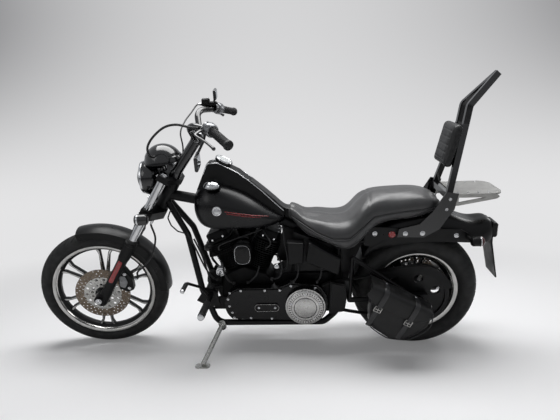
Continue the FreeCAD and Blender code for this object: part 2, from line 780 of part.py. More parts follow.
def handlebar():
    """Bent bar on two pulled-back risers."""
    half = [
        (v.bar_centre_x, 0, v.bar_centre_z), (v.bar_centre_x, -v.riser_half - 40, v.bar_centre_z),
        (v.bar_bend_x, -v.bar_bend_y, v.bar_bend_z), (v.bar_inner_x, -v.bar_inner_y, v.bar_inner_z),
        (v.bar_end_x, -v.bar_end_y, v.bar_end_z)]
    left = tube(half, v.bar_radius, 70)
    bar = left.fuse(mirrored(left))
    foot = steer_point(v.fork_offset * 0.2, v.riser_half, v.upper_clamp_high + v.seat_gap)
    lift = steer_point(v.fork_offset * 0.2, v.riser_half, v.upper_clamp_high + 28)
    head = Vector(v.bar_centre_x, v.riser_half, v.bar_centre_z)
    riser = join([
        rod(foot, lift, v.riser_radius + 4), rod(lift, head, v.riser_radius),
        Part.makeSphere(v.riser_radius + 1, lift),
        rod(head - Vector(0, 17, 0), head + Vector(0, 17, 0), v.riser_radius + 6)])
    feature("handlebar", join([bar, riser, mirrored(riser)]), None, "steering")
    around = tube(half, v.bar_radius + v.seat_gap, 70)

    inner = Vector(v.bar_inner_x, -v.bar_inner_y, v.bar_inner_z)
    end = Vector(v.bar_end_x, -v.bar_end_y, v.bar_end_z)
    along = (end - inner).normalize()
    start = end - along * v.grip_length
    sleeve = rod(start, end, v.grip_radius).cut(rod(start, end, v.bar_radius + v.seat_gap))
    plug = rod(end, end + along * 8, v.grip_radius)
    grip = join([sleeve, plug])
    clear = v.bar_radius + v.seat_gap
    switch = rod(start - along * 44, start - along * 2, 27).cut(rod(start - along * 60, start, clear))
    feature("grips", both_sides(grip), None, "steering")

    pivot = start - along * 30 + Vector(-34, 0, -2)
    tip = end + Vector(-62, 12, -14)
    mid = start + Vector(-74, -20, -6)
    lever = tube([pivot, mid, tip], 7, 40)
    arm = rod(start - along * 54 + Vector(-18, 0, 0), pivot, 9)
    perch = rod(start - along * 62, start - along * 43, 24).cut(rod(start - along * 80, start, clear))
    control = join([switch, perch, arm.cut(rod(start - along * 80, start, clear)), lever])
    well = rod(Vector(-214, 258, 1280), Vector(-214, 258, 1310), 22)
    master = Part.makeBox(84, 30, 20, Vector(-238, 244, 1272))
    left = control.cut(around)
    right = join([mirrored(control), well, master]).cut(mirrored(around))
    feature("hand_controls", Part.makeCompound([left, right]), None, "steering")
    mirrors(Part.makeCompound([left, right, around, mirrored(around)]))


def mirrors(bar_and_controls):
    """Slim mirrors on stalks: the left one hangs under the bar and the right one stands up."""
    left_stalk = tube([(-174, -252, 1250), (-190, -262, 1200), (-222, -290, 1146)], 6, 30)
    blade = Part.makeBox(16, 120, 66, Vector(-232, -352, 1084))
    blade = blade.makeFillet(7.5, blade.Edges)
    right_stalk = tube([(-170, 248, 1270), (-170, 258, 1290), (-164, 272, 1310)], 6, 30)
    right_blade = Part.makeBox(16, 104, 54, Vector(-170, 224, 1302))
    right_blade = right_blade.makeFillet(7.5, right_blade.Edges)
    pair = [join([left_stalk, blade]), join([right_stalk, right_blade])]
    pair = [max(mirror.cut(bar_and_controls).Solids, key=lambda solid: solid.Volume) for mirror in pair]
    feature("mirrors", Part.makeCompound(pair), None, "steering")


handlebar()


def bar_cables():
    """Loop from the left switch to the headlamp, hose down to the stem and hose to the caliper."""
    clutch = [(-214.6, -258.3, 1259.0), (-240, -256, 1262), (-310, -205, 1268), (-378, -145, 1246), (-440, -115, 1198),
              (-476, -102, 1150), (-478.2, -93.5, 1104.6), (-466.1, -70.2, 1089.9)]
    master = [(-239.8, 258.8, 1282), (-262, 256, 1281), (-290, 200, 1250), (-316, 110, 1222), (-336, 40, 1180),
              (-322, 2, 1090), steer_point(-8, 0, 1188.3), steer_point(-8, 0, 1148.3)]
    hose = [steer_point(10, -100, 904.7), steer_point(10, -100, 875), steer_point(-45, -116, 825),
            steer_point(-67, -118, 736), steer_point(-57, -114, 655), (-628, -98, 480), (-640, -72, 424),
            (-667.7, -72, 424)]
    lines = [tube(clutch, 4.5, 40), tube(master, 3.5, 30), tube(hose, 5, 40)]
    feature("bar_cables", Part.makeCompound(lines), None, "steering")


def front_fender():
    """Short pressed fender that hugs the tyre, with stays to the sliders."""
    body = new_body("front_fender")
    crown = "(front_tyre_radius + front_fender_gap)"
    skirt = f"({crown} - front_fender_skirt)"
    side = "front_fender_half"
    hip = f"({crown} - 16)"
    turned = revolve(body, [[
        (skirt, f"-{side}"), (hip, f"4 - {side}"), (crown, "0", "arc"), (hip, f"{side} - 4"),
        (skirt, side), (skirt, f"{side} - fender_wall"), (f"{hip} - 1", f"{side} - 4 - fender_wall"),
        (f"{crown} - fender_wall", "0", "arc"), (f"{hip} - 1", f"fender_wall + 4 - {side}"),
        (skirt, f"fender_wall - {side}")]], "XY_Plane", "Y_Axis", 106)
    place = Placement(front_axle + Vector(-4, 0, 10), Rotation(Vector(0, 1, 0), -102))
    node("fender_shell", body, place, "steering")
    boss_along = axle_along + v.front_tyre_radius + v.front_fender_gap - 34
    boss = rod(steer_point(v.fork_offset, -v.front_fender_half + 6, boss_along),
               steer_point(v.fork_offset, -v.fork_half + v.slider_radius + v.seat_gap, boss_along), 13)
    feature("fender_bosses", both_sides(boss), None, "steering")
    weld("front_fender", ["fender_shell", "fender_bosses"])
    return turned


front_fender()


def front_fittings():
    """Turn lamps on the lower clamp, and the brake caliper behind the left leg."""
    edge = Vector(60, -6, 0).normalize()
    outward = Vector(edge.y, -edge.x, 0)
    root = Vector(-v.fork_offset, -v.fork_half - 27, 925) + outward * v.seat_gap
    stalk = steer_frame.multVec(root), steer_frame.multVec(root + outward * 46)
    lamp_root = stalk[1]
    stalk = rod(*stalk, 7)
    lamp = Part.makeCylinder(27, 66, lamp_root + Vector(-33, -14, 0), Vector(1, 0, 0))
    lamp = lamp.makeFillet(14, [e for e in lamp.Edges if e.Curve.TypeId == "Part::GeomCircle"])
    feature("front_turn_lamps", both_sides(join([lamp, stalk])), None, "steering")
    inner = -v.front_disc_place + 14
    outer = -v.front_disc_place - v.disc_thickness - 26
    body = plate([(-742, 480), (-700, 500), (-668, 440), (-668, 368), (-700, 356), (-742, 380)], inner, outer)
    body = body.makeFillet(6, body.Edges)
    gap = Part.makeBox(200, v.disc_thickness + 3, 300,
                       Vector(-830, -v.front_disc_place - v.disc_thickness - 1.5, 300))
    swept = Part.makeCylinder(v.front_disc_radius + 5, v.disc_thickness + 3,
                              Vector(front_axle.x, -v.front_disc_place - v.disc_thickness - 1.5, front_axle.z),
                              Vector(0, 1, 0))
    leg = join([rod(steer_point(v.fork_offset, -v.fork_half, axle_along),
                    steer_point(v.fork_offset, -v.fork_half, axle_along + 70), 28 + v.seat_gap),
                rod(steer_point(v.fork_offset, -v.fork_half, axle_along),
                    steer_point(v.fork_offset, -v.fork_half, 700), 25 + v.seat_gap)])
    lug = rod((-728, -84, 452), steer_point(v.fork_offset, -v.fork_half, 498), 11)
    feature("front_caliper", body.cut(gap.common(swept)).fuse(lug).cut(leg), None, "steering")


front_fittings()
bar_cables()


# Frame


def frame():
    """Welded tube frame: head tube and backbone, two cradles, and the swingarm."""
    neck = steer_frame.toMatrix()
    head = Part.makeCylinder(v.head_tube_radius, v.upper_clamp_low - v.lower_clamp_high - 2 * 5,
                             Vector(0, 0, v.lower_clamp_high + 5)).transformGeometry(neck)
    bore_length = v.upper_clamp_low - v.lower_clamp_high + 200
    bore = Part.makeCylinder(v.stem_radius + 0.4, bore_length, Vector(0, 0, v.lower_clamp_high - 100))
    bore = bore.transformGeometry(neck)
    root = steer_point(0, 0, 1030)
    spine = tube([root, (-120, 0, 806), (60, 0, 748), (v.rear_post_x, 0, v.rear_post_z)], v.backbone_radius, 200)
    crossbar = rod((v.rear_post_x, -v.post_half - 18, v.rear_post_z), (v.rear_post_x, v.post_half + 18, v.rear_post_z), 20)
    rail = rod((v.rear_post_x, -v.post_half - 10, v.rear_post_z), (580, -v.strut_place - 6, 642), 9)
    rail = rail.cut(Part.makeBox(60, 200, 200, Vector(566 - v.seat_gap, -200, 540)))
    backbone = join([head, spine, crossbar, rail, mirrored(rail)]).cut(bore)
    feature("frame_backbone", backbone)
    low = steer_point(0, 0, 985)
    left = tube([
        (low.x + 24, -16, low.z), (-333, -60, 670), (-272, -v.rail_half, 380), (-205, -v.rail_half, v.rail_height),
        (v.rear_post_x - 78, -v.rail_half, v.rail_height), (v.rear_post_x, -v.post_half, v.pivot_z - 96),
        (v.rear_post_x, -v.post_half, v.rear_post_z - 22)], v.tube_radius, 60)
    collar = rod(steer_point(0, 0, 900), steer_point(0, 0, 1150), v.head_tube_radius + v.seat_gap)
    sleeve = tube([root, (-120, 0, 806), (60, 0, 748), (v.rear_post_x, 0, v.rear_post_z)],
                  v.backbone_radius + v.seat_gap, 200)
    end_bar = rod(crossbar.CenterOfMass - Vector(0, 130, 0), crossbar.CenterOfMass + Vector(0, 130, 0), 20 + v.seat_gap)
    lug = rod(stand_pivot - stand_axis * (15 + v.seat_gap), stand_pivot - stand_axis * 28, 18)
    tie = rod((v.stand_pivot_x, -v.rail_half, v.rail_height), stand_pivot - stand_axis * 24, 11)
    left = left.cut(collar).cut(sleeve).cut(end_bar)
    hub_room = rod(stand_pivot - stand_axis * (15 + v.seat_gap), stand_pivot + stand_axis * 40, 24)
    beds = []
    for x in (-90, 220):
        beds.append(rod((x, -v.rail_half, v.rail_height + 10), (x, v.rail_half, v.rail_height + 10), 11))
        beds.append(Part.makeBox(30, 120, 32, Vector(x - 15, -60, v.crank_z - 108 - v.seat_gap - 32)))
    feature("frame_cradles", join([join([left, lug, tie]).cut(hub_room), mirrored(left)] + beds))
    route = [(-408.1, -43.0, 796.2), (-410.4, -62.5, 800), (-424, -74, 765), (-408, -84, 728), (-376, -90, 698),
             (-342.8, -88.8, 686.2), (-341, -73.2, 683.1)]
    feature("clutch_cable", tube(route, 3.5, 18))
    half = v.arm_place
    bridge_x = v.rear_post_x + 54
    arm = rod((bridge_x, -half, v.pivot_z), (rear_axle.x, -half, rear_axle.z), 13)
    stay = rod((bridge_x + 14, -half, 560), (rear_axle.x - 30, -half, rear_axle.z + 10), 10)
    brace = rod((bridge_x, -half, v.pivot_z), (bridge_x + 14, -half, 560), 10)
    block = Part.makeBox(96, 2 * v.arm_block_half, 57,
                         Vector(rear_axle.x - 52, -half - v.arm_block_half, rear_axle.z - 28))
    block = block.makeFillet(10, [e for e in block.Edges if abs(e.CenterOfMass.y + half) < 1])
    eye = rod((rear_axle.x, -half - 30, rear_axle.z), (rear_axle.x, -half + 30, rear_axle.z),
              v.rear_axle_radius + v.seat_gap)
    bridge = rod((bridge_x, -half, v.pivot_z), (bridge_x, half, v.pivot_z), 14)
    ear = rod((v.rear_post_x, -v.post_half, v.pivot_z), (bridge_x, -v.post_half, v.pivot_z), 12)
    ear = ear.cut(rod((v.rear_post_x, -v.post_half, 200), (v.rear_post_x, -v.post_half, 500),
                      v.tube_radius + v.seat_gap))
    hangers = [rod((x, -half, v.pivot_z + 2), (x, -v.bag_inner + v.seat_gap, v.pivot_z + 2), 10) for x in (650, 790)]
    legs = join([arm, stay, brace, block, ear]).cut(eye)
    feature("swingarm", join([legs, mirrored(legs), bridge] + hangers))


frame()


# Engine


def engine():
    """Air-cooled V-twin: crankcase, two finned cylinders with heads, rocker boxes and covers."""
    case = new_body("crankcase")
    bank = math.radians(v.bank_angle)
    lean = (math.sin(bank), math.cos(bank))
    half_deck = 62

    def on_bank(side, along, aside):
        """Point of a cylinder bank, side -1 in front and 1 behind: along its axis and across it."""
        x = v.crank_x + side * (lean[0] * along + lean[1] * aside)
        z = v.crank_z + lean[1] * along - lean[0] * aside
        return x, z

    front_low = on_bank(-1, v.deck_height, half_deck)
    rear_low = on_bank(1, v.deck_height, half_deck)
    crotch = v.crank_z + v.deck_height / lean[1]
    pad(case, [[
        (f"{front_low[0]}", f"{front_low[1]}"), ("crank_x", f"{crotch}"),
        (f"{rear_low[0]}", f"{rear_low[1]}"), ("crank_x + 152", "crank_z + 70"), ("crank_x + 152", "crank_z - 108"),
        ("crank_x - 70", "crank_z - 108"), ("crank_x - 120", "crank_z - 50", "arc"),
        ("crank_x - 128", "crank_z + 30")]], "2 * case_half", both=True)
    soften(case, lambda e: abs(abs(e.CenterOfMass.y) - v.case_half) < 1e-3, "8")
    node("crankcase", case)

    for name, side in (("front", -1), ("rear", 1)):
        place = Placement(Vector(v.crank_x, 0, v.crank_z), Rotation(Vector(0, 1, 0), side * v.bank_angle))
        barrel = new_body(f"{name}_cylinder")
        start = "(deck_height + seat_gap)"
        fins_top = f"{start} + 12 + (barrel_fins + head_fins) * fin_pitch"
        pad(barrel, [("0", "0", "circle", "barrel_radius")], f"{fins_top} - {start}", "XY_Plane", start)
        fin = pad(barrel, [fin_outline("fin_radius")], "fin_thickness", "XY_Plane", f"{start} + 12")
        doc.recompute()
        row(barrel, fin, "Z_Axis", "barrel_fins", "(barrel_fins - 1) * fin_pitch")
        head_start = f"{start} + 12 + barrel_fins * fin_pitch"
        pad(barrel, [head_outline("0.9 * fin_radius")], "(head_fins - 1) * fin_pitch + fin_thickness", "XY_Plane",
            head_start)
        head_fin = pad(barrel, [head_outline("1.06 * fin_radius")], "fin_thickness", "XY_Plane", head_start)
        doc.recompute()
        row(barrel, head_fin, "Z_Axis", "head_fins", "(head_fins - 1) * fin_pitch")
        node(f"{name}_cylinder", barrel, place)

        rocker = new_body(f"{name}_rocker_box")
        base = f"({fins_top} + seat_gap)"
        pad(rocker, [head_outline("0.98 * fin_radius")], "10", "XY_Plane", base)
        pad(rocker, [[("-32", "0"), ("32", "0"), ("32", "112"), ("-32", "112")]], "12", "XY_Plane", base)
        pad(rocker, [head_outline("0.86 * fin_radius")], "rocker_height - 10", "XY_Plane", f"{base} + 10")
        high = number_of(f"{base} + rocker_height")
        soften(rocker, lambda e, high=high: abs(e.CenterOfMass.z - high) < 1e-3, "12")
        node(f"{name}_rocker_box", rocker, place)


def fin_outline(radius):
    """Round fin with flats where the two barrels face each other."""
    flat = f"0.87 * {radius}"
    return [(f"-{flat}", f"-0.5 * {radius}"), ("0", f"-{radius}", "arc"), (flat, f"-0.5 * {radius}"),
            (flat, f"0.5 * {radius}"), ("0", radius, "arc"), (f"-{flat}", f"0.5 * {radius}")]


def head_outline(radius):
    """Squarer outline of the head, wider across the machine than along it."""
    across = f"1.1 * {radius}"
    return [(f"-0.9 * {radius}", f"-0.8 * {across}"), (f"-0.62 * {radius}", f"-{across}"),
            (f"0.62 * {radius}", f"-{across}"), (f"0.9 * {radius}", f"-0.8 * {across}"),
            (f"0.9 * {radius}", f"0.8 * {across}"), (f"0.62 * {radius}", across),
            (f"-0.62 * {radius}", across), (f"-0.9 * {radius}", f"0.8 * {across}")]


def throat(middle, base):
    """Wedge that fits between the two barrels' facing flats, drawn about a base height."""
    corners = []
    for height, sides in ((562, (-1, 1)), (590, (1, -1))):
        half = f"({height} - crank_z) * tan(bank_angle) - (0.87 * fin_radius + seat_gap) / cos(bank_angle)"
        corners += [(f"{middle} + {side} * ({half})", f"{height} - {base}") for side in sides]
    return corners


def engine_covers():
    """Cast covers on the engine's left side, and the cam cover and air cleaner on its right."""
    primary = new_body("primary_cover")
    for inset, depth in (("0", "cover_depth - 6"), ("7", "cover_depth")):
        pad(primary, [[
            (f"-118 + {inset}", f"222 + {inset}"), (f"336 - {inset}", f"208 + {inset}"),
            (f"381 - {inset}", "304", "arc"), (f"330 - {inset}", f"412 - {inset}"), (f"190 + {inset}", f"426 - {inset}"),
            (f"130 + {inset}", f"398 - {inset}"), (f"-72 + {inset}", f"398 - {inset}"),
            (f"-144 + {inset}", "340", "arc")]], depth, "XZ_Plane", "case_half + seat_gap")
    pad(primary, [[("25", "272"), ("110", "272"), ("130", "292", "arc"), ("110", "312"), ("25", "312"),
                   ("5", "292", "arc")]], "8", "XZ_Plane", "case_half + seat_gap + cover_depth - 1")
    pad(primary, [("clutch_x", "clutch_z", "circle", "derby_radius + 9")], "cover_depth + 21", "XZ_Plane",
        "case_half + seat_gap")
    pocket(primary, [("sprocket_x", "sprocket_z", "circle", "sprocket_radius + belt_thickness + 9")],
           "belt_place + belt_width / 2 + 6 - case_half", "XZ_Plane", "case_half")
    node("primary_cover", primary)

    derby = new_body("derby_cover")
    depth = "(case_half + seat_gap + cover_depth + 21 + seat_gap)"
    revolve(derby, [[
        ("0", f"0 - {depth}"), ("derby_radius", f"0 - {depth}"), ("derby_radius", f"0 - {depth} - 9"),
        ("derby_radius - 5", f"0 - {depth} - 13"), ("0.8 * derby_radius", f"0 - {depth} - 13"),
        ("0.79 * derby_radius", f"0 - {depth} - 11"), ("0.6 * derby_radius", f"0 - {depth} - 11"),
        ("0.59 * derby_radius", f"0 - {depth} - 14"), ("0", f"0 - {depth} - 15")]])
    node("derby_cover", derby, Placement(Vector(v.clutch_x, 0, v.clutch_z), Rotation()))

    gearbox = new_body("transmission")
    pad(gearbox, [[
        ("crank_x + 152.3", "crank_z - 108"), ("392", "crank_z - 108"), ("sprocket_x - 10", "sprocket_z + 118"),
        ("crank_x + 190", "sprocket_z + 118"), ("crank_x + 152.3", "crank_z + 84")]], "2 * (case_half - 10)", both=True)
    node("transmission", gearbox)

    side_cover = new_body("sprocket_cover")
    for inset, depth in (("0", "28"), ("6", "34")):
        pad(side_cover, [[
            (f"388 + {inset}", f"248 + {inset}"), (f"464 - {inset}", f"262 + {inset}"), (f"477 - {inset}", "330", "arc"),
            (f"468 - {inset}", f"416 - {inset}"), (f"398 + {inset}", f"430 - {inset}")]],
            depth, "XZ_Plane", "belt_place + belt_width / 2 + 8")
    node("sprocket_cover", side_cover)

    cam = new_body("cam_cover")
    pad(cam, [("crank_x", "crank_z + 8", "circle", "88")], "34", "XZ_Plane", "0 - case_half - seat_gap - 34")
    pad(cam, [[("crank_x - 96", "crank_z + 20"), ("crank_x - 60", "crank_z + 128"), ("crank_x + 60", "crank_z + 128"),
               ("crank_x + 96", "crank_z + 20")]], "26", "XZ_Plane", "0 - case_half - seat_gap - 26")
    node("cam_cover", cam)

    horn = new_body("horn_cover")
    pad(horn, [[("crank_x - 50", "610"), ("crank_x - 34", "634", "arc"), ("crank_x", "642"),
                ("crank_x + 34", "634", "arc"), ("crank_x + 50", "610"), ("crank_x + 40", "522"),
                ("crank_x - 40", "522")]], "42", "XZ_Plane", "96")
    soften(horn, lambda e: abs(e.CenterOfMass.y + 138) < 1e-3, "14")
    pad(horn, [throat("crank_x", 0)], "88", "XZ_Plane", "12")
    node("horn_cover", horn)

    filter_can = new_body("oil_filter")
    revolve(filter_can, [[("0", "0"), ("30", "0"), ("38", "8"), ("38", "70"), ("34", "80", "arc"), ("20", "84"),
                          ("0", "84")]], "XZ_Plane", "Z_Axis")
    node("oil_filter", filter_can, Placement(Vector(v.crank_x - 122, -52, v.crank_z + 78),
                                             Rotation(Vector(0, 1, 0), -80)))

    cleaner = new_body("air_cleaner")
    revolve(cleaner, [[("0", "118"), ("78", "118"), ("85", "125"), ("85", "152"), ("78", "166", "arc"),
                       ("60", "172"), ("0", "174")]])
    pad(cleaner, [("0", "0", "circle", "20")], "121", "XZ_Plane", "0 - 121")
    pad(cleaner, [throat("0", 600)], "110", "XZ_Plane", "0 - 122")
    node("air_cleaner", cleaner, Placement(Vector(v.crank_x, 0, 600), Rotation()))


def pushrods():
    """Four pushrod tubes fan out from the cam cover to the rocker boxes."""
    top = number_of("deck_height + 12 + (barrel_fins + head_fins) * fin_pitch + seat_gap")
    floor = Part.makeBox(400, 200, 200, Vector(v.crank_x - 200, 0, v.crank_z + 128 + v.seat_gap - 200))
    tubes = []
    for side in (-1, 1):
        bank = Placement(Vector(v.crank_x, 0, v.crank_z), Rotation(Vector(0, 1, 0), side * v.bank_angle))
        ceiling = Part.makeBox(400, 400, 60, Vector(-200, -200, top)).transformGeometry(bank.toMatrix())
        for aside in (-20, 20):
            head = bank.multVec(Vector(aside, 107, top))
            foot = Vector(v.crank_x + side * 30 + aside * 0.7, v.case_half + 13, v.crank_z + 124)
            tubes.append(rod(foot, head, 8).cut(floor).cut(ceiling))
    feature("pushrod_tubes", Part.makeCompound(tubes))


def exhaust():
    """Two staggered pipes on the right side, each into its own muffler."""
    ports = []
    for side in (-1, 1):
        bank = Placement(Vector(v.crank_x, 0, v.crank_z), Rotation(Vector(0, 1, 0), side * v.bank_angle))
        face = 0.9 * 1.06 * v.fin_radius + v.seat_gap
        ports.append([bank.multVec(Vector(side * (face + out), 38, 290)) for out in (0, 46)])
    front = tube(ports[0] + [
        (v.crank_x - 215, 150, 500), (v.crank_x - 145, 206, 420), (v.crank_x - 75, v.muffler_place, 270),
        (v.crank_x + 5, v.muffler_place, 226), (424, v.muffler_place, 226)], 21, 60)
    rear = tube(ports[1] + [
        (v.crank_x + 245, 150, 515), (v.crank_x + 275, 206, 430), (v.crank_x + 345, v.muffler_place, 330),
        (450, v.muffler_place, 318), (564, v.muffler_place, 318)], 21, 60)
    cans = []
    for pipe, x, z, length in ((front, 420, 226, 640), (rear, 560, 318, 620)):
        body = Part.makeCylinder(43, length - 50, Vector(x + 30, v.muffler_place, z), Vector(1, 0, 0))
        nose = Part.makeCone(24, 43, 30, Vector(x, v.muffler_place, z), Vector(1, 0, 0))
        tip = Part.makeCone(43, 36, 20, Vector(x + length - 20, v.muffler_place, z), Vector(1, 0, 0))
        hole = Part.makeCylinder(30, 90, Vector(x + length - 80, v.muffler_place, z), Vector(1, 0, 0))
        cans.append(join([pipe, body, nose, tip]).cut(hole))
    feature("exhaust", Part.makeCompound(cans))


engine()
engine_covers()
pushrods()
exhaust()


# Tank, console and seat


def ring_section(x, low, high, half, round_low, round_high):
    """Closed curve across the machine at x: flat-bottomed egg, its shoulders set by two shares."""
    height = high - low
    right = [
        (0, high), (half * round_high, high - 0.1 * height), (half, low + 0.5 * height),
        (half * 0.96, low + 0.22 * height), (half * round_low, low), (0, low)]
    left = [(-y, z) for y, z in right[-2:0:-1]]
    return smooth_ring([(x, y, z) for y, z in right + left])


def fuel_tank():
    """Teardrop tank in two lobes over the backbone."""
    rows = [
        (v.tank_front_x, 790, 866, 50, 0.5, 0.6), (v.tank_front_x + 20, 742, 905, 98, 0.72, 0.62),
        (v.tank_front_x + 80, 722, 938, 132, 0.84, 0.62), (v.tank_front_x + 165, 718, 930, 138, 0.86, 0.6),
        (0, 717, 876, 130, 0.86, 0.56), (90, 717, 810, 106, 0.84, 0.52), (150, 722, 768, 70, 0.8, 0.5),
        (v.tank_rear_x, 734, 752, 34, 0.7, 0.5)]
    tank = loft([ring_section(*r) for r in rows])
    tunnel = tube([steer_point(0, 0, 1030), (-120, 0, 806), (60, 0, 748), (v.rear_post_x, 0, v.rear_post_z)],
                  v.backbone_radius + v.seat_gap, 200)
    slot_half = v.backbone_radius + v.seat_gap
    slot = Part.makeBox(600, 2 * slot_half, 90, Vector(-420, -slot_half, 680))
    tank = tank.cut(tunnel).cut(slot)
    neck = Part.makeCylinder(v.head_tube_radius + 8, 260, Vector(0, 0, v.lower_clamp_low - 40))
    neck = neck.transformGeometry(steer_frame.toMatrix())
    tank = tank.cut(neck)
    feature("fuel_tank", tank)
    console = plate([(-268, 900), (-204, 1036), (-150, 1040), (-52, 988), (70, 884), (174, 776), (166, 740), (0, 800)],
                    -v.console_half, v.console_half)
    console = console.makeFillet(10, [e for e in console.Edges if abs(abs(e.CenterOfMass.y) - v.console_half) < 1e-3
                                      and e.CenterOfMass.z > 850])
    feature("tank_console", console.cut(tank).cut(tunnel).cut(slot))
    dial = Part.makeCylinder(44, 16, Vector(0, 0, 0))
    place = Placement(Vector(-130, 0, 1029), Rotation(Vector(0, 1, 0), 28))
    dial = dial.makeFillet(4, [e for e in dial.Edges if e.Curve.TypeId == "Part::GeomCircle"])
    dial.Placement = place
    caps = [dial.cut(console)]
    for side in (-1, 1):
        cap = Part.makeSphere(52, Vector(-178, side * 84, 904))
        caps.append(cap.common(Part.makeCylinder(40, 90, Vector(-178, side * 84, 918))))
    tool = Part.makeCompound([tank])
    feature("tank_caps", Part.makeCompound([c.cut(tool) for c in caps]))


def seat_section(x, low, high, half, edge):
    """Section of the seat: crowned top, rolled edge and a flat base."""
    right = [(0, high), (half * 0.55, high - 6), (half * 0.93, high - 0.3 * edge), (half, high - edge),
             (half * 0.9, low + 8), (half * 0.6, low), (0, low)]
    left = [(-y, z) for y, z in right[-2:0:-1]]
    return smooth_ring([(x, y, z) for y, z in right + left])


def seat():
    """Stepped two-up seat on its pan."""
    rows = [
        (v.seat_front_x, 728, 786, 50, 24), (250, 694, 772, 98, 40), (330, 655, 750, 148, 60),
        (410, 626, 739, v.seat_half - 8, 78), (490, 608, 752, v.seat_half, 92), (550, 648, 812, v.seat_half - 14, 92),
        (610, 706, 854, 146, 88), (720, 738, 866, 134, 84), (830, 752, 868, 130, 78),
        (900, 776, 850, 118, 50), (v.seat_rear_x, 800, 828, 84, 20)]
    shape = loft([seat_section(*r) for r in rows])
    room = v.seat_gap
    spine = tube([(60, 0, 748), (60.1, 0, 747.97), (v.rear_post_x, 0, v.rear_post_z)], v.backbone_radius + room, 1)
    shape = shape.cut(spine)
    for side in (-1, 1):
        shape = shape.cut(plate(STRUT, side * (v.strut_place - room), side * (v.strut_place + v.strut_wall + room)))
    shape = shape.cut(fender_form(room))
    crossbar = rod((v.rear_post_x, -140, v.rear_post_z), (v.rear_post_x, 140, v.rear_post_z), 20 + room)
    rail = rod((v.rear_post_x, -v.post_half - 10, v.rear_post_z), (580, -v.strut_place - 6, 642), 9 + room)
    feature("seat", shape.cut(crossbar).cut(rail).cut(mirrored(rail)))


# Tail

RACK_TOP = Vector(1110, 0, 866)
PLATE_FACE = Vector((1213.3 + 1252) / 2, 0, (590 + 398) / 2)
PLATE_NORMAL = Vector(192, 0, 38.7).normalize()
STRUT = [(566, 616), (566, 700), (600, 712), (690, 706), (1030, 690), (1068, 668), (1060, 640), (1010, 632),
         (660, 640), (600, 610)]
FENDER_RIDGE = [(560, 560), (600, 640), (690, 716), (800, 752), (900, 762), (990, 749), (1060, 720), (1125, 706),
                (1178, 713), (1205, 700)]
FENDER_HALVES = [104, 108, 112, 112, 112, 112, 106, 98, 84, 66]
FENDER_FLOOR = [530, 560, 596, 616, 622, 618, 612, 606, 606, 612]


def fender_form(room):
    """The rear fender's outer form as a closed block, grown by some room."""
    sections = []
    for (x, z), half, low in zip(FENDER_RIDGE, FENDER_HALVES, FENDER_FLOOR):
        half += room
        low += 2 * room
        right = [(0, z + room), (half * 0.78, z + room - 0.1 * (z - low)), (half, z - 0.45 * (z - low)), (half, low)]
        left = [(-y, zz) for y, zz in right[:0:-1]]
        top = Part.BSplineCurve()
        top.interpolate([Vector(x, y, zz) for y, zz in left + right])
        base = Part.LineSegment(Vector(x, half, low), Vector(x, -half, low))
        sections.append(Part.Wire([top.toShape(), base.toShape()]))
    return Part.makeLoft(sections, True, False)


def rear_fender():
    """Pressed fender with a flicked-up tail: a sheet of even wall swept along its ridge."""
    shell = fender_form(0).cut(fender_form(-v.fender_wall))
    reach = v.rear_tyre_radius + 2 * v.running_gap
    splash = []
    for half, span in ((92, [(480, 352), (600, 352), (600, 545), (480, 545)]), (103.5, [(540, 535), (660, 535), (660, 600), (540, 600)])):
        drum = rod(rear_axle - Vector(0, half, 0), rear_axle + Vector(0, half, 0), reach + v.fender_wall)
        drum = drum.cut(rod(rear_axle - Vector(0, half + 1, 0), rear_axle + Vector(0, half + 1, 0), reach))
        splash.append(drum.common(plate(span, -half, half)))
    spacers = [rod((x, -110, 655), (x, -v.strut_place + v.seat_gap, 655), 9) for x in (700, 790, 900, 990)]
    feature("rear_fender", join([shell] + splash + spacers + [mirrored(spacer) for spacer in spacers]))


def tail():
    """Fender struts, lamps and number plate holder."""
    wall = v.strut_wall
    inner = v.strut_place
    bar = plate(STRUT, -inner, -inner - wall)
    feature("fender_struts", both_sides(bar))
    back = 1205 + v.seat_gap
    lamp = Part.makeBox(32, 108, 78, Vector(back + 2, -54, 612))
    lamp = lamp.makeFillet(12, [e for e in lamp.Edges if e.CenterOfMass.x > back + 4])
    base = plate([(back, 700), (back + 5, 700), (back + 8, 590), (1252, 398), (1246, 396), (back, 580)], -64, 64)
    base = base.makeFillet(20, [e for e in base.Edges if e.CenterOfMass.z > 698 and e.Length < 8])
    bullet = Part.makeCylinder(23, 58, Vector(1062, -184, 648), Vector(1, 0, 0))
    bullet = bullet.makeFillet(12, [e for e in bullet.Edges if e.Curve.TypeId == "Part::GeomCircle"])
    stalk = rod((1058, -inner - wall - v.seat_gap, 654), (1070, -184, 650), 7)
    stalk = stalk.cut(Part.makeBox(200, 60, 200, Vector(980, -inner - wall - v.seat_gap, 560)))
    turn = join([bullet, stalk])
    feature("tail_lights", Part.makeCompound([lamp.fuse(base), turn, mirrored(turn)]))


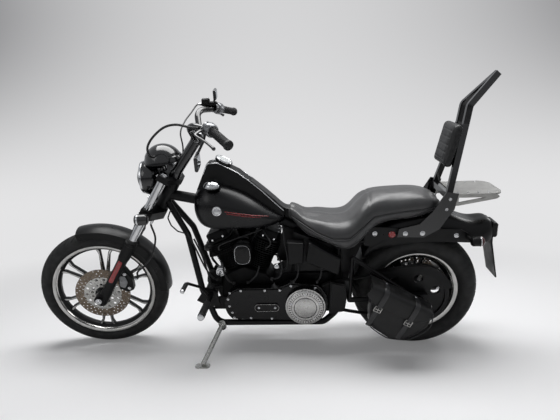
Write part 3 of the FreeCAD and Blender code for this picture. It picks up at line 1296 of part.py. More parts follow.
def sissy_bar():
    """Square-bar sissy bar with side plates, its pad and a luggage rack behind it."""
    half = v.sissy_half
    thick = v.sissy_bar_half
    top_half = v.sissy_top_half
    foot = Vector(947, 0, 800)
    bend = Vector(1038, 0, 1186)
    path = [(foot.x, -half, foot.z), (bend.x, -top_half, bend.z), (1050, -top_half, 1270), (1182, 0, 1410)]
    spine = path_of(path, 30)
    start = Vector(*path[0])
    across = Vector(0, 1, 0)
    run = (Vector(*path[1]) - start).normalize()
    side = run.cross(across).normalize()
    corners = [start + side * a * thick + across * b * thick for a, b in ((-1.3, -1), (1.3, -1), (1.3, 1), (-1.3, 1))]
    ring = Part.makePolygon(corners + corners[:1])
    upright = spine.makePipeShell([ring], True, True)
    trim = Part.makeBox(800, 400, 900, Vector(800, -400, 600))
    upright = upright.common(trim)
    both = upright.fuse(mirrored(upright))
    deep = 1.3 * thick
    tilt = Placement(foot, Rotation(Vector(0, 1, 0), math.degrees(math.atan2(bend.x - foot.x, bend.z - foot.z))))
    crosses = []
    for high in (225, 330):
        reach = half - (half - top_half) * high / (bend - foot).Length
        crosses.append(Part.makeBox(2 * deep, 2 * reach, 30, Vector(-deep, -reach, high)))
    crosses = [c.transformGeometry(tilt.toMatrix()) for c in crosses]
    bar = join([both] + crosses)
    guard = plate([(722, 664), (850, 660), (920, 700), (985, 800), (1000, 876), (944, 886), (885, 790), (826, 728),
                   (730, 706)], -half - thick + 1, -half - thick - 6)
    posts = [rod((x, -half - thick - 4, 682), (x, -v.strut_place - v.strut_wall - v.seat_gap, 682), 11) for x in (760, 842)]
    shelf = Part.makeBox(2 * deep, 2 * (half + thick), 26, Vector(-deep, -half - thick, 46))
    shelf = shelf.transformGeometry(tilt.toMatrix())
    sides = join([guard] + posts)
    bar = join([bar, shelf, sides, mirrored(sides)])
    feature("sissy_bar", bar)
    pad_box = Part.makeBox(v.pad_thickness, 2 * v.pad_half, v.pad_height,
                           Vector(-deep - v.pad_thickness - v.seat_gap, -v.pad_half, 185))
    pad_box = pad_box.makeFillet(20, pad_box.Edges)
    feature("backrest_pad", pad_box, tilt)
    top = Part.makeBox(236, 2 * v.rack_half, 8, Vector(986, -v.rack_half, 858))
    top = top.makeFillet(60, [e for e in top.Edges if abs(e.CenterOfMass.x - 1222) < 1 and e.Length < 10])
    strut = plate([(940, 860), (1190, 860), (1202, 848), (1190, 838), (1010, 806), (940, 806)], -v.rack_half + 4, -v.rack_half + 12)
    strut = strut.cut(plate([(1012, 846), (1140, 846), (1012, 822)], -v.rack_half, v.rack_half))
    room = Part.makeBox(60 + deep + v.seat_gap, 2 * v.rack_half + 10, 300, Vector(-60, -v.rack_half - 5, -60))
    rack = join([top, strut, mirrored(strut)]).cut(room.transformGeometry(tilt.toMatrix()))
    feature("luggage_rack", rack)


fuel_tank()
seat()
rear_fender()
tail()
sissy_bar()


# Axle, guards, controls, stand and bag


def rear_running_gear():
    """Rear axle, brake caliper and the belt guard."""
    end = v.arm_place + v.arm_block_half + v.seat_gap
    pin = rod((0, -end - 6, 0), (0, end + 6, 0), v.rear_axle_radius)
    nut = rod((0, end, 0), (0, end + 8, 0), 20)
    feature("rear_axle", join([pin, nut, mirrored(nut)]), Placement(rear_axle, Rotation()))
    oil = new_body("oil_tank")
    pad(oil, [[("292", "655"), ("452", "560"), ("440", "470"), ("274", "545")]], "70", "XZ_Plane",
        "battery_half + seat_gap")
    soften(oil, lambda e: True, "10")
    pocket(oil, [[("408", "460"), ("460", "460"), ("460", "660"), ("408", "660")]], "38", "XZ_Plane", "99")
    node("oil_tank", oil)
    battery = plate([(218, 683), (404, 612), (404, 462), (218, 462)], -v.battery_half, v.battery_half)
    battery = battery.makeFillet(8, [e for e in battery.Edges if e.CenterOfMass.z < 463])
    sleeve = rod((60, 0, 748), (v.rear_post_x, 0, v.rear_post_z), v.backbone_radius + v.seat_gap)
    feature("battery_box", battery.cut(sleeve))
    box = new_body("coil_box")
    pad(box, [[("183", "646"), ("268", "640"), ("262", "530"), ("190", "526")]], "50", "XZ_Plane", "battery_half + seat_gap")
    soften(box, lambda e: True, "7")
    node("coil_box", box)
    disc = v.rear_hub_half + v.seat_gap
    caliper = plate([(690, 380), (722, 430), (786, 436), (800, 396), (748, 352), (712, 344)], disc - 14, disc + 26)
    slot = Part.makeCylinder(v.rear_disc_radius + 5, v.disc_thickness + 3,
                             Vector(rear_axle.x, disc - 1.5, rear_axle.z), Vector(0, 1, 0))
    hanger = rod((745, disc + 24, 390), (745, v.arm_place - 10 - v.seat_gap, 390), 9)
    feature("rear_caliper", caliper.cut(slot).fuse(hanger))


def foot_controls():
    """Forward foot pegs with shifter and brake pedal on their brackets."""
    inner = -v.rail_half - v.tube_radius - v.seat_gap
    mount = plate([(-300, 330), (-250, 400), (-190, 380), (-180, 300), (-230, 290)], inner, inner - 14)
    peg = rod((-222, inner - 6, 360), (-226, -380, 366), 13)
    arm = tube([(-226, -165, 360), (-270, -170, 420), (-312, -250, 484), (-312, -335, 484)], 7, 25)
    feature("foot_controls", both_sides(join([mount, peg, arm])))


def side_stand():
    """Steel prop that swings down and forward from a lug on the frame's left rail."""
    ground = stance.inverse().toMatrix()
    sole = Part.makeBox(74, 46, 6, Vector(v.stand_foot_x - 40, -v.stand_foot_reach - 30, 0))
    sole = sole.makeFillet(16, [e for e in sole.Edges if abs(e.CenterOfMass.z - 3) < 0.1])
    floor = Part.makeBox(400, 400, 100, Vector(-500, -500, -100))
    leg = rod(stand_pivot, stand_foot, v.stand_radius)
    ball = Part.makeSphere(v.stand_radius, stand_foot)
    hub = rod(stand_pivot - stand_axis * 15, stand_pivot + stand_axis * 15, 18)
    prop = join([leg, ball, hub, sole.transformGeometry(ground)]).cut(floor.transformGeometry(ground))
    feature("side_stand", prop, None, "side_stand")


LID_HINGE = Vector(592, -v.bag_inner, 497)


def bag():
    """Leather bag on the left of the swingarm, with a strapped lid."""
    low = [(592, 492), (869, 346), (858, 263), (756, 197), (640, 222), (571, 279)]
    outer = plate(low, -v.bag_inner, -v.bag_inner - v.bag_depth)
    wall = v.bag_wall
    hollow = plate([(597, 520), (864, 380), (852, 266), (754, 204), (643, 229), (577, 283)],
                   -v.bag_inner - wall, -v.bag_inner - v.bag_depth + wall)
    feature("bag_body", outer.cut(hollow))
    run = Vector(869 - 592, 0, 346 - 492)
    across = run.normalize()
    lift = Vector(0, 1, 0).cross(across)
    front, rear = Vector(586, 0, 495.2), Vector(875, 0, 342.8)
    rise = Vector(146, 0, 277).normalize()
    corners = [front + rise * 0.5, rear + rise * 0.5, rear + rise * 7, front + rise * 7]
    lid = plate([(c.x, c.z) for c in corners], -v.bag_inner, -v.bag_inner - v.bag_depth - 6)
    feature("bag_lid", lid, None, "bag_lid")


rear_running_gear()
foot_controls()
side_stand()
bag()


gather("cylinders", ["front_cylinder", "rear_cylinder"])
gather("rocker_boxes", ["front_rocker_box", "rear_rocker_box"])
gather("engine_cases", ["crankcase", "transmission", "drive_sprocket"])
gather("headlamp_and_cowl", ["headlamp", "headlamp_cowl", "headlamp_ears"])
gather("rear_axle_set", ["rear_axle", "rear_caliper"])
gather("front_axle_set", ["front_axle", "front_caliper"])
gather("belt_guards", ["belt_guard", "sprocket_cover"])
gather("side_boxes", ["oil_tank", "coil_box", "battery_box"])
gather("fender_and_struts", ["rear_fender", "fender_struts"])
gather("engine_trim", ["oil_filter", "horn_cover", "cam_cover", "pushrod_tubes"])
gather("tank_fittings", ["tank_console", "tank_caps"])

# The leaned machine's box is centred on the origin with its lowest point at Z 0.


def put_in_place(shift):
    """Gives every node its stance, moved by a shift."""
    for item, local, group in nodes.values():
        turn = steer_turn if group in ("steering", "front_wheel") else Placement()
        item.Placement = Placement(shift, Rotation()).multiply(stance).multiply(turn).multiply(local)


put_in_place(Vector())
doc.recompute()
box = FreeCAD.BoundBox()
for item, _, _ in nodes.values():
    box.add(item.Shape.optimalBoundingBox(False, False))
put_in_place(Vector(-box.Center.x, -box.Center.y, -box.ZMin))
doc.recompute()

for item in doc.Objects:
    if "Invalid" in item.State or "Error" in item.State:
        raise RuntimeError(f"{item.Label} failed: {item.State}")

os.makedirs("parts", exist_ok=True)
for name, (item, _, _) in nodes.items():
    shape = item.Shape
    if shape.isNull() or not shape.isValid():
        raise RuntimeError(f"{name} has no valid shape")
    shape.exportStep(f"parts/{name}.step")
    print(name, round(shape.Volume), len(shape.Solids))
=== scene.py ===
import json
import math
import bmesh
import bpy
import numpy as np
from mathutils import Matrix, Vector
from mathutils.bvhtree import BVHTree

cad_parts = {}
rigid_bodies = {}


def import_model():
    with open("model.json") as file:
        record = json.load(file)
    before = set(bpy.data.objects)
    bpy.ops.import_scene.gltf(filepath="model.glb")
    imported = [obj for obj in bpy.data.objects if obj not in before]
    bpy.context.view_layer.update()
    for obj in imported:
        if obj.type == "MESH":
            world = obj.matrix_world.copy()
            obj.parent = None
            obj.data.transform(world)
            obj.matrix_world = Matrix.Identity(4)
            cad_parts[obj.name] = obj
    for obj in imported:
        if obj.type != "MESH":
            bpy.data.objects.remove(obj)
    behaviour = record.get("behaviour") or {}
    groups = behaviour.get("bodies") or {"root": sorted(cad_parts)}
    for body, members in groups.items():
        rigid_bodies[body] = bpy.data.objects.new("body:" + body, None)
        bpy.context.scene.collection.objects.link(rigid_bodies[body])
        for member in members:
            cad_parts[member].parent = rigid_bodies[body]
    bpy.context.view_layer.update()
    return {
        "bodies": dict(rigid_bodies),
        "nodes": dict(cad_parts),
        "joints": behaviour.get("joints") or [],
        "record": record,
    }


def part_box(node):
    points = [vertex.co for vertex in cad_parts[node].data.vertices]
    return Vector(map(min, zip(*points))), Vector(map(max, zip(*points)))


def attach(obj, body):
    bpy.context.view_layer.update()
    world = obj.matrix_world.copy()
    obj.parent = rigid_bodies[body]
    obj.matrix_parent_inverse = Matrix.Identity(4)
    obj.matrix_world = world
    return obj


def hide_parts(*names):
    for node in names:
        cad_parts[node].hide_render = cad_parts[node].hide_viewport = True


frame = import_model()
scene = bpy.context.scene

# Stance
# The machine leans on its side stand with its bars turned to the left. Pieces are drawn
# upright in millimetres, X to the rear, Y to the rider's right and Z up, then stood up.

LEAN, SQUAT, RAKE, BAR_TURN = (math.radians(angle) for angle in (10.7, -0.126, 32, 8))
FRONT_AXLE = np.array((-845.0, 0, 345))
REAR_AXLE = np.array((845.0, 0, 326))
NECK_FOOT = np.array((-977.0, 0, 0))
STEM = np.array((math.sin(RAKE), 0, math.cos(RAKE)))
AHEAD = np.array((-math.cos(RAKE), 0, math.sin(RAKE)))
SIDEWAYS = np.array((0.0, 1, 0))
REARWARD = np.array((1.0, 0, 0))
UPWARD = np.array((0, 0, 1.0))
TURNED_BODIES = ("steering", "front_wheel")


def turning(axis, angle):
    """Matrix that turns about a unit axis by an angle, by Rodrigues' formula."""
    x, y, z = axis
    cross = np.array(((0, -z, y), (z, 0, -x), (-y, x, 0)))
    return np.eye(3) + math.sin(angle) * cross + (1 - math.cos(angle)) * cross @ cross


STANCE = turning((1, 0, 0), LEAN) @ turning((0, 1, 0), SQUAT)
low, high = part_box("rear_tyre")
SHIFT = 500 * (np.array(low) + np.array(high)) - STANCE @ REAR_AXLE


def stood(points, steered=False):
    """Upright millimetres to metres in the frame: turned with the bars, leaned, then shifted."""
    points = np.asarray(points, float)
    if steered:
        points = (points - NECK_FOOT) @ turning(STEM, BAR_TURN).T + NECK_FOOT
    return (points @ STANCE.T + SHIFT) / 1000


def fork_point(ahead, across, along):
    """Point by its distance ahead of the steering axis, across it and up along it."""
    return NECK_FOOT + ahead * AHEAD + across * SIDEWAYS + along * STEM


# Camera, lamps and floor
# A studio view from the left, from a little above the seat. The floor is a pale painted
# sheet that runs into a backdrop of the same tone, under one wide soft lamp overhead and
# two weaker ones.

CAMERA_PLACE = np.array((294.2, -2449.3, 1055.6))
CAMERA_YAW, CAMERA_DIP, CAMERA_ROLL = (math.radians(angle) for angle in (3.685, 7.376, -1.766))
FOCAL_PIXELS = 449.27
SENSOR_WIDTH, PICTURE_WIDTH = 36, 560

camera = bpy.data.objects.new("camera", bpy.data.cameras.new("camera"))
scene.collection.objects.link(camera)
scene.camera = camera
camera.data.sensor_width = SENSOR_WIDTH
camera.data.lens = FOCAL_PIXELS * SENSOR_WIDTH / PICTURE_WIDTH
camera.data.clip_end = 100
right = np.array((math.cos(CAMERA_YAW), math.sin(CAMERA_YAW), 0))
level = np.array((-math.sin(CAMERA_YAW), math.cos(CAMERA_YAW), 0))
up = math.sin(CAMERA_DIP) * level + math.cos(CAMERA_DIP) * np.array((0, 0, 1))
forward = np.cross(up, right)
rolled_right = math.cos(CAMERA_ROLL) * right + math.sin(CAMERA_ROLL) * up
rolled_up = -math.sin(CAMERA_ROLL) * right + math.cos(CAMERA_ROLL) * up
pose = np.eye(4)
pose[:3, :3] = np.stack([rolled_right, rolled_up, -forward], 1)
pose[:3, 3] = (CAMERA_PLACE + SHIFT) / 1000
camera.matrix_world = Matrix(pose)
scene.view_settings.view_transform = "Standard"


def linear(colour):
    """An sRGB hex colour as linear red, green, blue and alpha."""
    levels = np.array([int(colour[at:at + 2], 16) for at in (1, 3, 5)]) / 255
    levels = np.where(levels <= 0.04045, levels / 12.92, ((levels + 0.055) / 1.055) ** 2.4)
    return (*levels.tolist(), 1.0)


def add(tree, kind, sockets, **properties):
    """Adds a shader node, with numbers, colours or links for its sockets, and its properties."""
    node = tree.nodes.new("ShaderNode" + kind)
    for key, value in properties.items():
        setattr(node, key, value)
    for key, value in sockets.items():
        if isinstance(value, bpy.types.NodeSocket):
            tree.links.new(value, node.inputs[key])
        else:
            node.inputs[key].default_value = value
    return node


BACKDROP = "#E4E4E5"
world = bpy.data.worlds.new("studio")
scene.world = world
world.use_nodes = True
tree = world.node_tree
tree.nodes.clear()
ray = add(tree, "LightPath", {}).outputs
seen = add(tree, "Math", {0: ray["Is Camera Ray"], 1: ray["Is Transmission Ray"]}, operation="MAXIMUM")
pale = add(tree, "Background", {"Color": linear(BACKDROP), "Strength": 1.0})
soft = add(tree, "Background", {"Color": linear("#F2F4F8"), "Strength": 0.13})
gleam = add(tree, "Background", {"Color": linear("#F2F4F8"), "Strength": 0.5})
dim = add(tree, "MixShader", {0: ray["Is Glossy Ray"], 1: soft.outputs[0], 2: gleam.outputs[0]})
both = add(tree, "MixShader", {0: seen.outputs[0], 1: dim.outputs[0], 2: pale.outputs[0]})
add(tree, "OutputWorld", {"Surface": both.outputs[0]})


def lamp(name, place, target, size, watts):
    """Soft rectangular lamp that faces a target. Places in metres."""
    light = bpy.data.lights.new(name, "AREA")
    light.shape = "RECTANGLE"
    light.size, light.size_y = size
    light.energy = watts
    item = bpy.data.objects.new(name, light)
    scene.collection.objects.link(item)
    back = np.array(place, float) - np.array(target, float)
    back /= np.linalg.norm(back)
    side = np.cross((0, 1, 0.001), back)
    side /= np.linalg.norm(side)
    pose = np.eye(4)
    pose[:3, :3] = np.stack([side, np.cross(back, side), back], 1)
    pose[:3, 3] = place
    item.matrix_world = Matrix(pose)


lamp("overhead_lamp", (0.1, 0.3, 3.4), (0, 0, 0.6), (3.6, 1.8), 128)
lamp("front_lamp", (-2.8, -2.6, 2.4), (-0.2, 0, 0.6), (1.6, 1.6), 9)
lamp("rear_lamp", (2.9, 1.6, 2.0), (0.3, 0, 0.7), (1.2, 1.2), 16)

# Near the machine the floor takes light and shadow. Further out it takes the backdrop's tone.
bpy.ops.mesh.primitive_circle_add(vertices=96, radius=40, fill_type="NGON")
floor = bpy.context.object
floor.name = "floor"
paint = bpy.data.materials.new("painted_studio_floor")
paint.use_nodes = True
tree = paint.node_tree
surface = tree.nodes["Principled BSDF"]
place = add(tree, "TexCoord", {}).outputs["Object"]
grit = add(tree, "TexNoise", {"Vector": place, "Scale": 260.0, "Detail": 3.0})
tone = add(tree, "Mix", {0: grit.outputs["Fac"], 6: linear("#DCDCDD"), 7: linear("#E6E6E7")},
           data_type="RGBA")
tree.links.new(tone.outputs[2], surface.inputs["Base Color"])
surface.inputs["Roughness"].default_value = 0.75
ray = add(tree, "LightPath", {}).outputs
lift = add(tree, "Math", {0: ray["Is Camera Ray"], 1: 0.15}, operation="MULTIPLY")
glow = add(tree, "Emission", {"Color": linear("#F4F4F5"), "Strength": lift.outputs[0]})
lit = add(tree, "AddShader", {0: surface.outputs[0], 1: glow.outputs[0]})
far = add(tree, "VectorMath", {0: place}, operation="LENGTH")
fade = add(tree, "MapRange", {"Value": far.outputs["Value"], "From Min": 1.5, "From Max": 3.6},
           interpolation_type="SMOOTHSTEP")
fade = add(tree, "Math", {0: fade.outputs[0], 1: ray["Is Camera Ray"]}, operation="MULTIPLY")
glow = add(tree, "Emission", {"Color": linear(BACKDROP), "Strength": 1.0})
mixed = add(tree, "MixShader", {0: fade.outputs[0], 1: lit.outputs[0], 2: glow.outputs[0]})
tree.links.new(mixed.outputs[0], tree.nodes["Material Output"].inputs["Surface"])
floor.data.materials.append(paint)

# The backdrop is a glowing sheet behind the machine, bright in its middle, with painted shade to the corners.
wall = bpy.data.meshes.new("backdrop")
wall.from_pydata([(-16, 0, -0.9), (16, 0, -0.9), (16, 0, 13), (-16, 0, 13)], [], [(0, 1, 2, 3)])
backdrop = bpy.data.objects.new("backdrop", wall)
backdrop.location = (-0.3, 6.0, 0.9)
scene.collection.objects.link(backdrop)
backdrop_glow = bpy.data.materials.new("backdrop_glow_with_painted_shade")
backdrop_glow.use_nodes = True
tree = backdrop_glow.node_tree
tree.nodes.clear()
place = add(tree, "TexCoord", {}).outputs["Object"]
parts = add(tree, "SeparateXYZ", {"Vector": place}).outputs
rise = add(tree, "MapRange", {"Value": parts["Z"], "From Min": -0.9, "From Max": 2.9},
           interpolation_type="SMOOTHSTEP")
aside = add(tree, "Math", {0: parts["X"], 1: 1 / 5.3}, operation="MULTIPLY")
aside = add(tree, "Math", {0: aside.outputs[0], 1: aside.outputs[0]}, operation="MULTIPLY", use_clamp=True)
far = add(tree, "VectorMath", {0: place}, operation="LENGTH")
near = add(tree, "MapRange", {"Value": far.outputs["Value"], "From Min": 6.5, "From Max": 9.5,
                              "To Min": 1.0, "To Max": 0.0}, interpolation_type="SMOOTHSTEP")
aside = add(tree, "Math", {0: aside.outputs[0], 1: 0.72, 2: 0.24}, operation="MULTIPLY_ADD")
# Painted shade: the glow turns darker upwards and to the sides, towards the corners.
drop = add(tree, "Math", {0: rise.outputs[0], 1: aside.outputs[0]}, operation="MULTIPLY")
drop = add(tree, "Math", {0: drop.outputs[0], 1: near.outputs[0]}, operation="MULTIPLY")
tone = add(tree, "Mix", {0: drop.outputs[0], 6: linear(BACKDROP), 7: linear("#8B8B8D")}, data_type="RGBA")
glow = add(tree, "Emission", {"Color": tone.outputs[2], "Strength": 1.0})
add(tree, "OutputMaterial", {"Surface": glow.outputs[0]})
wall.materials.append(backdrop_glow)
for seen_by in ("visible_diffuse", "visible_glossy", "visible_shadow"):
    setattr(backdrop, seen_by, False)

# Tyres
# Tubeless cruiser tyres of vulcanised rubber. The crown has chevron grooves and a centre
# rib, and the sidewalls have moulded rings. The rubber is matt, with dust in its pores.


def skin(points, around=False, along=False):
    """Quads over a grid of points [row, column, 3]. around joins the last column to the first,
    and along joins the last row to the first."""
    rows, columns = points.shape[:2]
    index = np.arange(rows * columns).reshape(rows, columns)
    if along:
        index = np.vstack([index, index[:1]])
    if around:
        index = np.hstack([index, index[:, :1]])
    quads = np.stack([index[:-1, :-1], index[:-1, 1:], index[1:, 1:], index[1:, :-1]], -1)
    return points.reshape(-1, 3), quads.reshape(-1, 4).tolist()


def bow(start, middle, end, steps):
    """Arc of the circle through three points (a, b), from start to end without the end."""
    (ax, ay), (bx, by), (cx, cy) = start, middle, end
    d = 2 * (ax * (by - cy) + bx * (cy - ay) + cx * (ay - by))
    a2, b2, c2 = ax**2 + ay**2, bx**2 + by**2, cx**2 + cy**2
    centre = complex((a2 * (by - cy) + b2 * (cy - ay) + c2 * (ay - by)) / d,
                     (a2 * (cx - bx) + b2 * (ax - cx) + c2 * (bx - ax)) / d)
    first, mid, last = (np.angle(complex(*point) - centre) for point in (start, middle, end))
    span = (last - first) % (2 * math.pi)
    if (mid - first) % (2 * math.pi) > span:
        span -= 2 * math.pi
    turns = first + span * np.linspace(0, 1, steps, endpoint=False)
    radius = abs(complex(*start) - centre)
    return np.stack([centre.real + radius * np.cos(turns), centre.imag + radius * np.sin(turns)], 1)


def finish(name, dark, light, rough, grain, relief, patch=0.1, **shader):
    """Material whose colour and roughness drift between two values over soft patches of a size
    in metres, with a bumpy grain of a size and a depth in metres. Single values are set on
    the shader's own sockets."""
    material = bpy.data.materials.new(name)
    material.use_nodes = True
    tree = material.node_tree
    surface = tree.nodes["Principled BSDF"]
    place = add(tree, "TexCoord", {}).outputs["Object"]
    cloud = add(tree, "TexNoise", {"Vector": place, "Scale": 1 / patch, "Detail": 6.0, "Roughness": 0.62})
    share = add(tree, "MapRange", {"Value": cloud.outputs["Fac"], "From Min": 0.3, "From Max": 0.7})
    tone = add(tree, "Mix", {0: share.outputs[0], 6: linear(dark), 7: linear(light)}, data_type="RGBA")
    tree.links.new(tone.outputs[2], surface.inputs["Base Color"])
    smear = add(tree, "TexNoise", {"Vector": place, "Scale": 2.3 / patch, "Detail": 4.0})
    gloss = add(tree, "MapRange", {"Value": smear.outputs["Fac"], "From Min": 0.3, "From Max": 0.7,
                                   "To Min": rough[0], "To Max": rough[1]})
    tree.links.new(gloss.outputs[0], surface.inputs["Roughness"])
    pores = add(tree, "TexNoise", {"Vector": place, "Scale": 1 / grain, "Detail": 2.0})
    bump = add(tree, "Bump", {"Strength": 1.0, "Distance": relief, "Height": pores.outputs["Fac"]})
    tree.links.new(bump.outputs[0], surface.inputs["Normal"])
    for key, value in shader.items():
        surface.inputs[key.replace("_", " ")].default_value = value
    return material


def piece(name, shells, body, material, replaces=(), sharp=38):
    """Joins shells of (points, faces) into one mesh in the frame, merges doubles, points its faces
    outwards, and keeps edges sharper than an angle."""
    points, faces, count = [], [], 0
    for shell_points, shell_faces in shells:
        points.append(np.asarray(shell_points, float).reshape(-1, 3))
        faces += [[at + count for at in face] for face in shell_faces]
        count += len(points[-1])
    mesh = bpy.data.meshes.new(name)
    mesh.from_pydata(stood(np.concatenate(points), body in TURNED_BODIES).tolist(), [], faces)
    draft = bmesh.new()
    draft.from_mesh(mesh)
    bmesh.ops.remove_doubles(draft, verts=draft.verts, dist=2e-6)
    bmesh.ops.dissolve_degenerate(draft, edges=draft.edges, dist=1e-6)
    bmesh.ops.recalc_face_normals(draft, faces=draft.faces)
    limit = math.radians(sharp)
    for edge in draft.edges:
        edge.smooth = len(edge.link_faces) != 2 or edge.calc_face_angle(0) < limit
    for face in draft.faces:
        face.smooth = True
    draft.to_mesh(mesh)
    draft.free()
    item = bpy.data.objects.new(name, mesh)
    scene.collection.objects.link(item)
    mesh.materials.append(material)
    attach(item, body)
    if replaces:
        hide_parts(*replaces)
    return item


tyre_rubber = finish("vulcanised_tyre_rubber", "#111112", "#232322", (0.62, 0.85), 0.0011, 0.00012)


def tyre(prefix, centre, radius, width, drop, bead, lip, half_bead, chevrons):
    """Closed ring: across it run bead, sidewall and crown, and round it the crown's rows shift
    with their distance from the middle, so that grooves lie along the grid as chevrons."""
    wall = 9
    groove_depth = 4.5
    side = bow((lip, half_bead), (lip + 0.45 * (radius - drop - lip), width / 2),
               (radius - drop, width / 2 - 5), 14)
    cap = bow((radius - drop, width / 2 - 5), (radius, 0), (radius - drop, 5 - width / 2), 44)
    far_side = side[::-1] * (1, -1)
    inner = np.array([(bead, wall - half_bead), (lip + 20, wall - width / 2 + 4),
                      (radius - drop - wall, 12 - width / 2), (radius - 14, 0),
                      (radius - drop - wall, width / 2 - 12), (lip + 20, width / 2 - wall - 4),
                      (bead, half_bead - wall)])
    loop = np.concatenate([[(bead, half_bead)], side, cap, far_side, [(bead, -half_bead)], inner])
    crown = slice(1 + len(side), 1 + len(side) + len(cap))
    reach = np.abs(loop[:, 1]) / (width / 2)
    on_crown = np.zeros(len(loop))
    on_crown[crown] = (reach[crown] > 0.13) & (reach[crown] < 0.84)
    rib = np.zeros(len(loop))
    rib[crown] = (np.abs(loop[crown, 1]) > 2.0) & (np.abs(loop[crown, 1]) < 5.6)
    # One chevron is a land, a flank, the groove's floor and a flank
    share = np.array([0, 0.28, 0.56, 0.80, 0.845, 0.94, 0.985])
    is_floor = np.array([0, 0, 0, 0, 1, 1, 0])
    pitch = 2 * math.pi / chevrons
    angle = (np.arange(chevrons)[:, None] + share).ravel() * pitch
    groove = np.tile(is_floor, chevrons)
    sweep_back = 1.5 * pitch * np.clip(reach, 0, 0.9) ** 0.8
    sweep_back[crown.stop:] = sweep_back[crown.stop - 1]
    sweep_back[:crown.start] = sweep_back[crown.start]
    twist = angle[:, None] + sweep_back
    depth = groove_depth * np.maximum(groove[:, None] * on_crown, rib)
    ring = np.zeros(len(loop))
    after_crown = -len(inner) - 1
    ring[6:8] = ring[after_crown - 8:after_crown - 6] = 0.7
    r = loop[:, 0] - depth
    y = loop[:, 1] + np.sign(loop[:, 1]) * ring + 0 * twist
    points = np.stack([r * np.cos(twist), y, r * np.sin(twist)], -1) + centre
    piece(f"{prefix}_tread", [skin(points, around=True, along=True)], f"{prefix}_wheel", tyre_rubber,
          (f"{prefix}_tyre",), sharp=30)


tyre("front", FRONT_AXLE, 345, 96, 24, 267, 276, 33, 46)
tyre("rear", REAR_AXLE, 326, 182, 38, 203, 217, 64, 40)

# Wheels
# Cast aluminium wheels with six split spokes. The rim lips and the front spokes' faces are
# turned bright, the rear spokes' faces are gloss black, and the rest is powder coated black.


def whole_turn(count):
    """Angles of even steps once round a circle."""
    return np.linspace(0, 2 * math.pi, count, endpoint=False)


def lathe(profile, centre, axis=SIDEWAYS, segments=120, ring=False):
    """Solid of revolution: each (radius, place along the axis) is carried round the axis."""
    profile = np.asarray(profile, float)
    axis = np.asarray(axis, float) / np.linalg.norm(axis)
    side = np.cross(axis, (0.3, 0.2, 0.9))
    side /= np.linalg.norm(side)
    other = np.cross(axis, side)
    angle = whole_turn(segments)[None, :, None]
    round_it = np.cos(angle) * side + np.sin(angle) * other
    points = centre + profile[:, 1, None, None] * axis + profile[:, 0, None, None] * round_it
    return skin(points, around=True, along=ring)


def eased(corners, size, steps=3):
    """Each corner of a closed outline becomes a short quadratic curve that starts size before it."""
    corner = np.asarray(corners, float)
    before, after = np.roll(corner, 1, 0), np.roll(corner, -1, 0)
    runs = [np.linalg.norm(other - corner, axis=1, keepdims=True) for other in (before, after)]
    start, end = (corner + (other - corner) / run * np.minimum(size, 0.45 * run)
                  for other, run in zip((before, after), runs))
    t = np.linspace(0, 1, steps)[:, None, None]
    curve = (1 - t) ** 2 * start + 2 * t * (1 - t) * corner + t**2 * end
    return curve.transpose(1, 0, 2).reshape(-1, corner.shape[1])


def capped(points):
    """Closed shell over rings of points, with a face over its first ring and one over its last."""
    verts, faces = skin(points, around=True)
    count = points.shape[1]
    first = list(range(count))[::-1]
    last = list(range(len(verts) - count, len(verts)))
    return verts, faces + [first, last]


UPRIGHT_FRAME = (np.zeros(3), REARWARD, UPWARD, SIDEWAYS)


def slab(outline, near, far, edge=1.2, frame=UPRIGHT_FRAME):
    """Plate cut to an outline (a, b) between two heights. Its rims are drawn in by edge along the
    outline's normals. frame is (origin, a's direction, b's direction, height's direction)."""
    outline = np.asarray(outline, float)
    step = np.roll(outline, -1, 0) - np.roll(outline, 1, 0)
    inward = np.stack([-step[:, 1], step[:, 0]], 1) / np.linalg.norm(step, axis=1, keepdims=True)
    area = np.sum(outline[:, 0] * np.roll(outline[:, 1], -1) - np.roll(outline[:, 0], -1) * outline[:, 1])
    inset = outline + inward * edge * np.sign(area)
    drop = edge * np.sign(far - near)
    rows = [(inset, near), (outline, near + drop), (outline, far - drop), (inset, far)]
    origin, a, b, height = frame
    return capped(np.stack([origin + ring[:, :1] * a + ring[:, 1:] * b + level * height
                            for ring, level in rows]))


rim_polish = finish("turned_aluminium_lip", "#B9B8B5", "#D2D1CE", (0.14, 0.26), 0.0016, 0.00001,
                    0.05, Metallic=1.0)
black_cast = finish("black_powder_coat_on_casting", "#060607", "#0C0C0D", (0.3, 0.46), 0.0014, 0.00003, 0.08,
                    Specular_IOR_Level=0.3)


SPOKES = 6
FIRST_SPOKE = 8


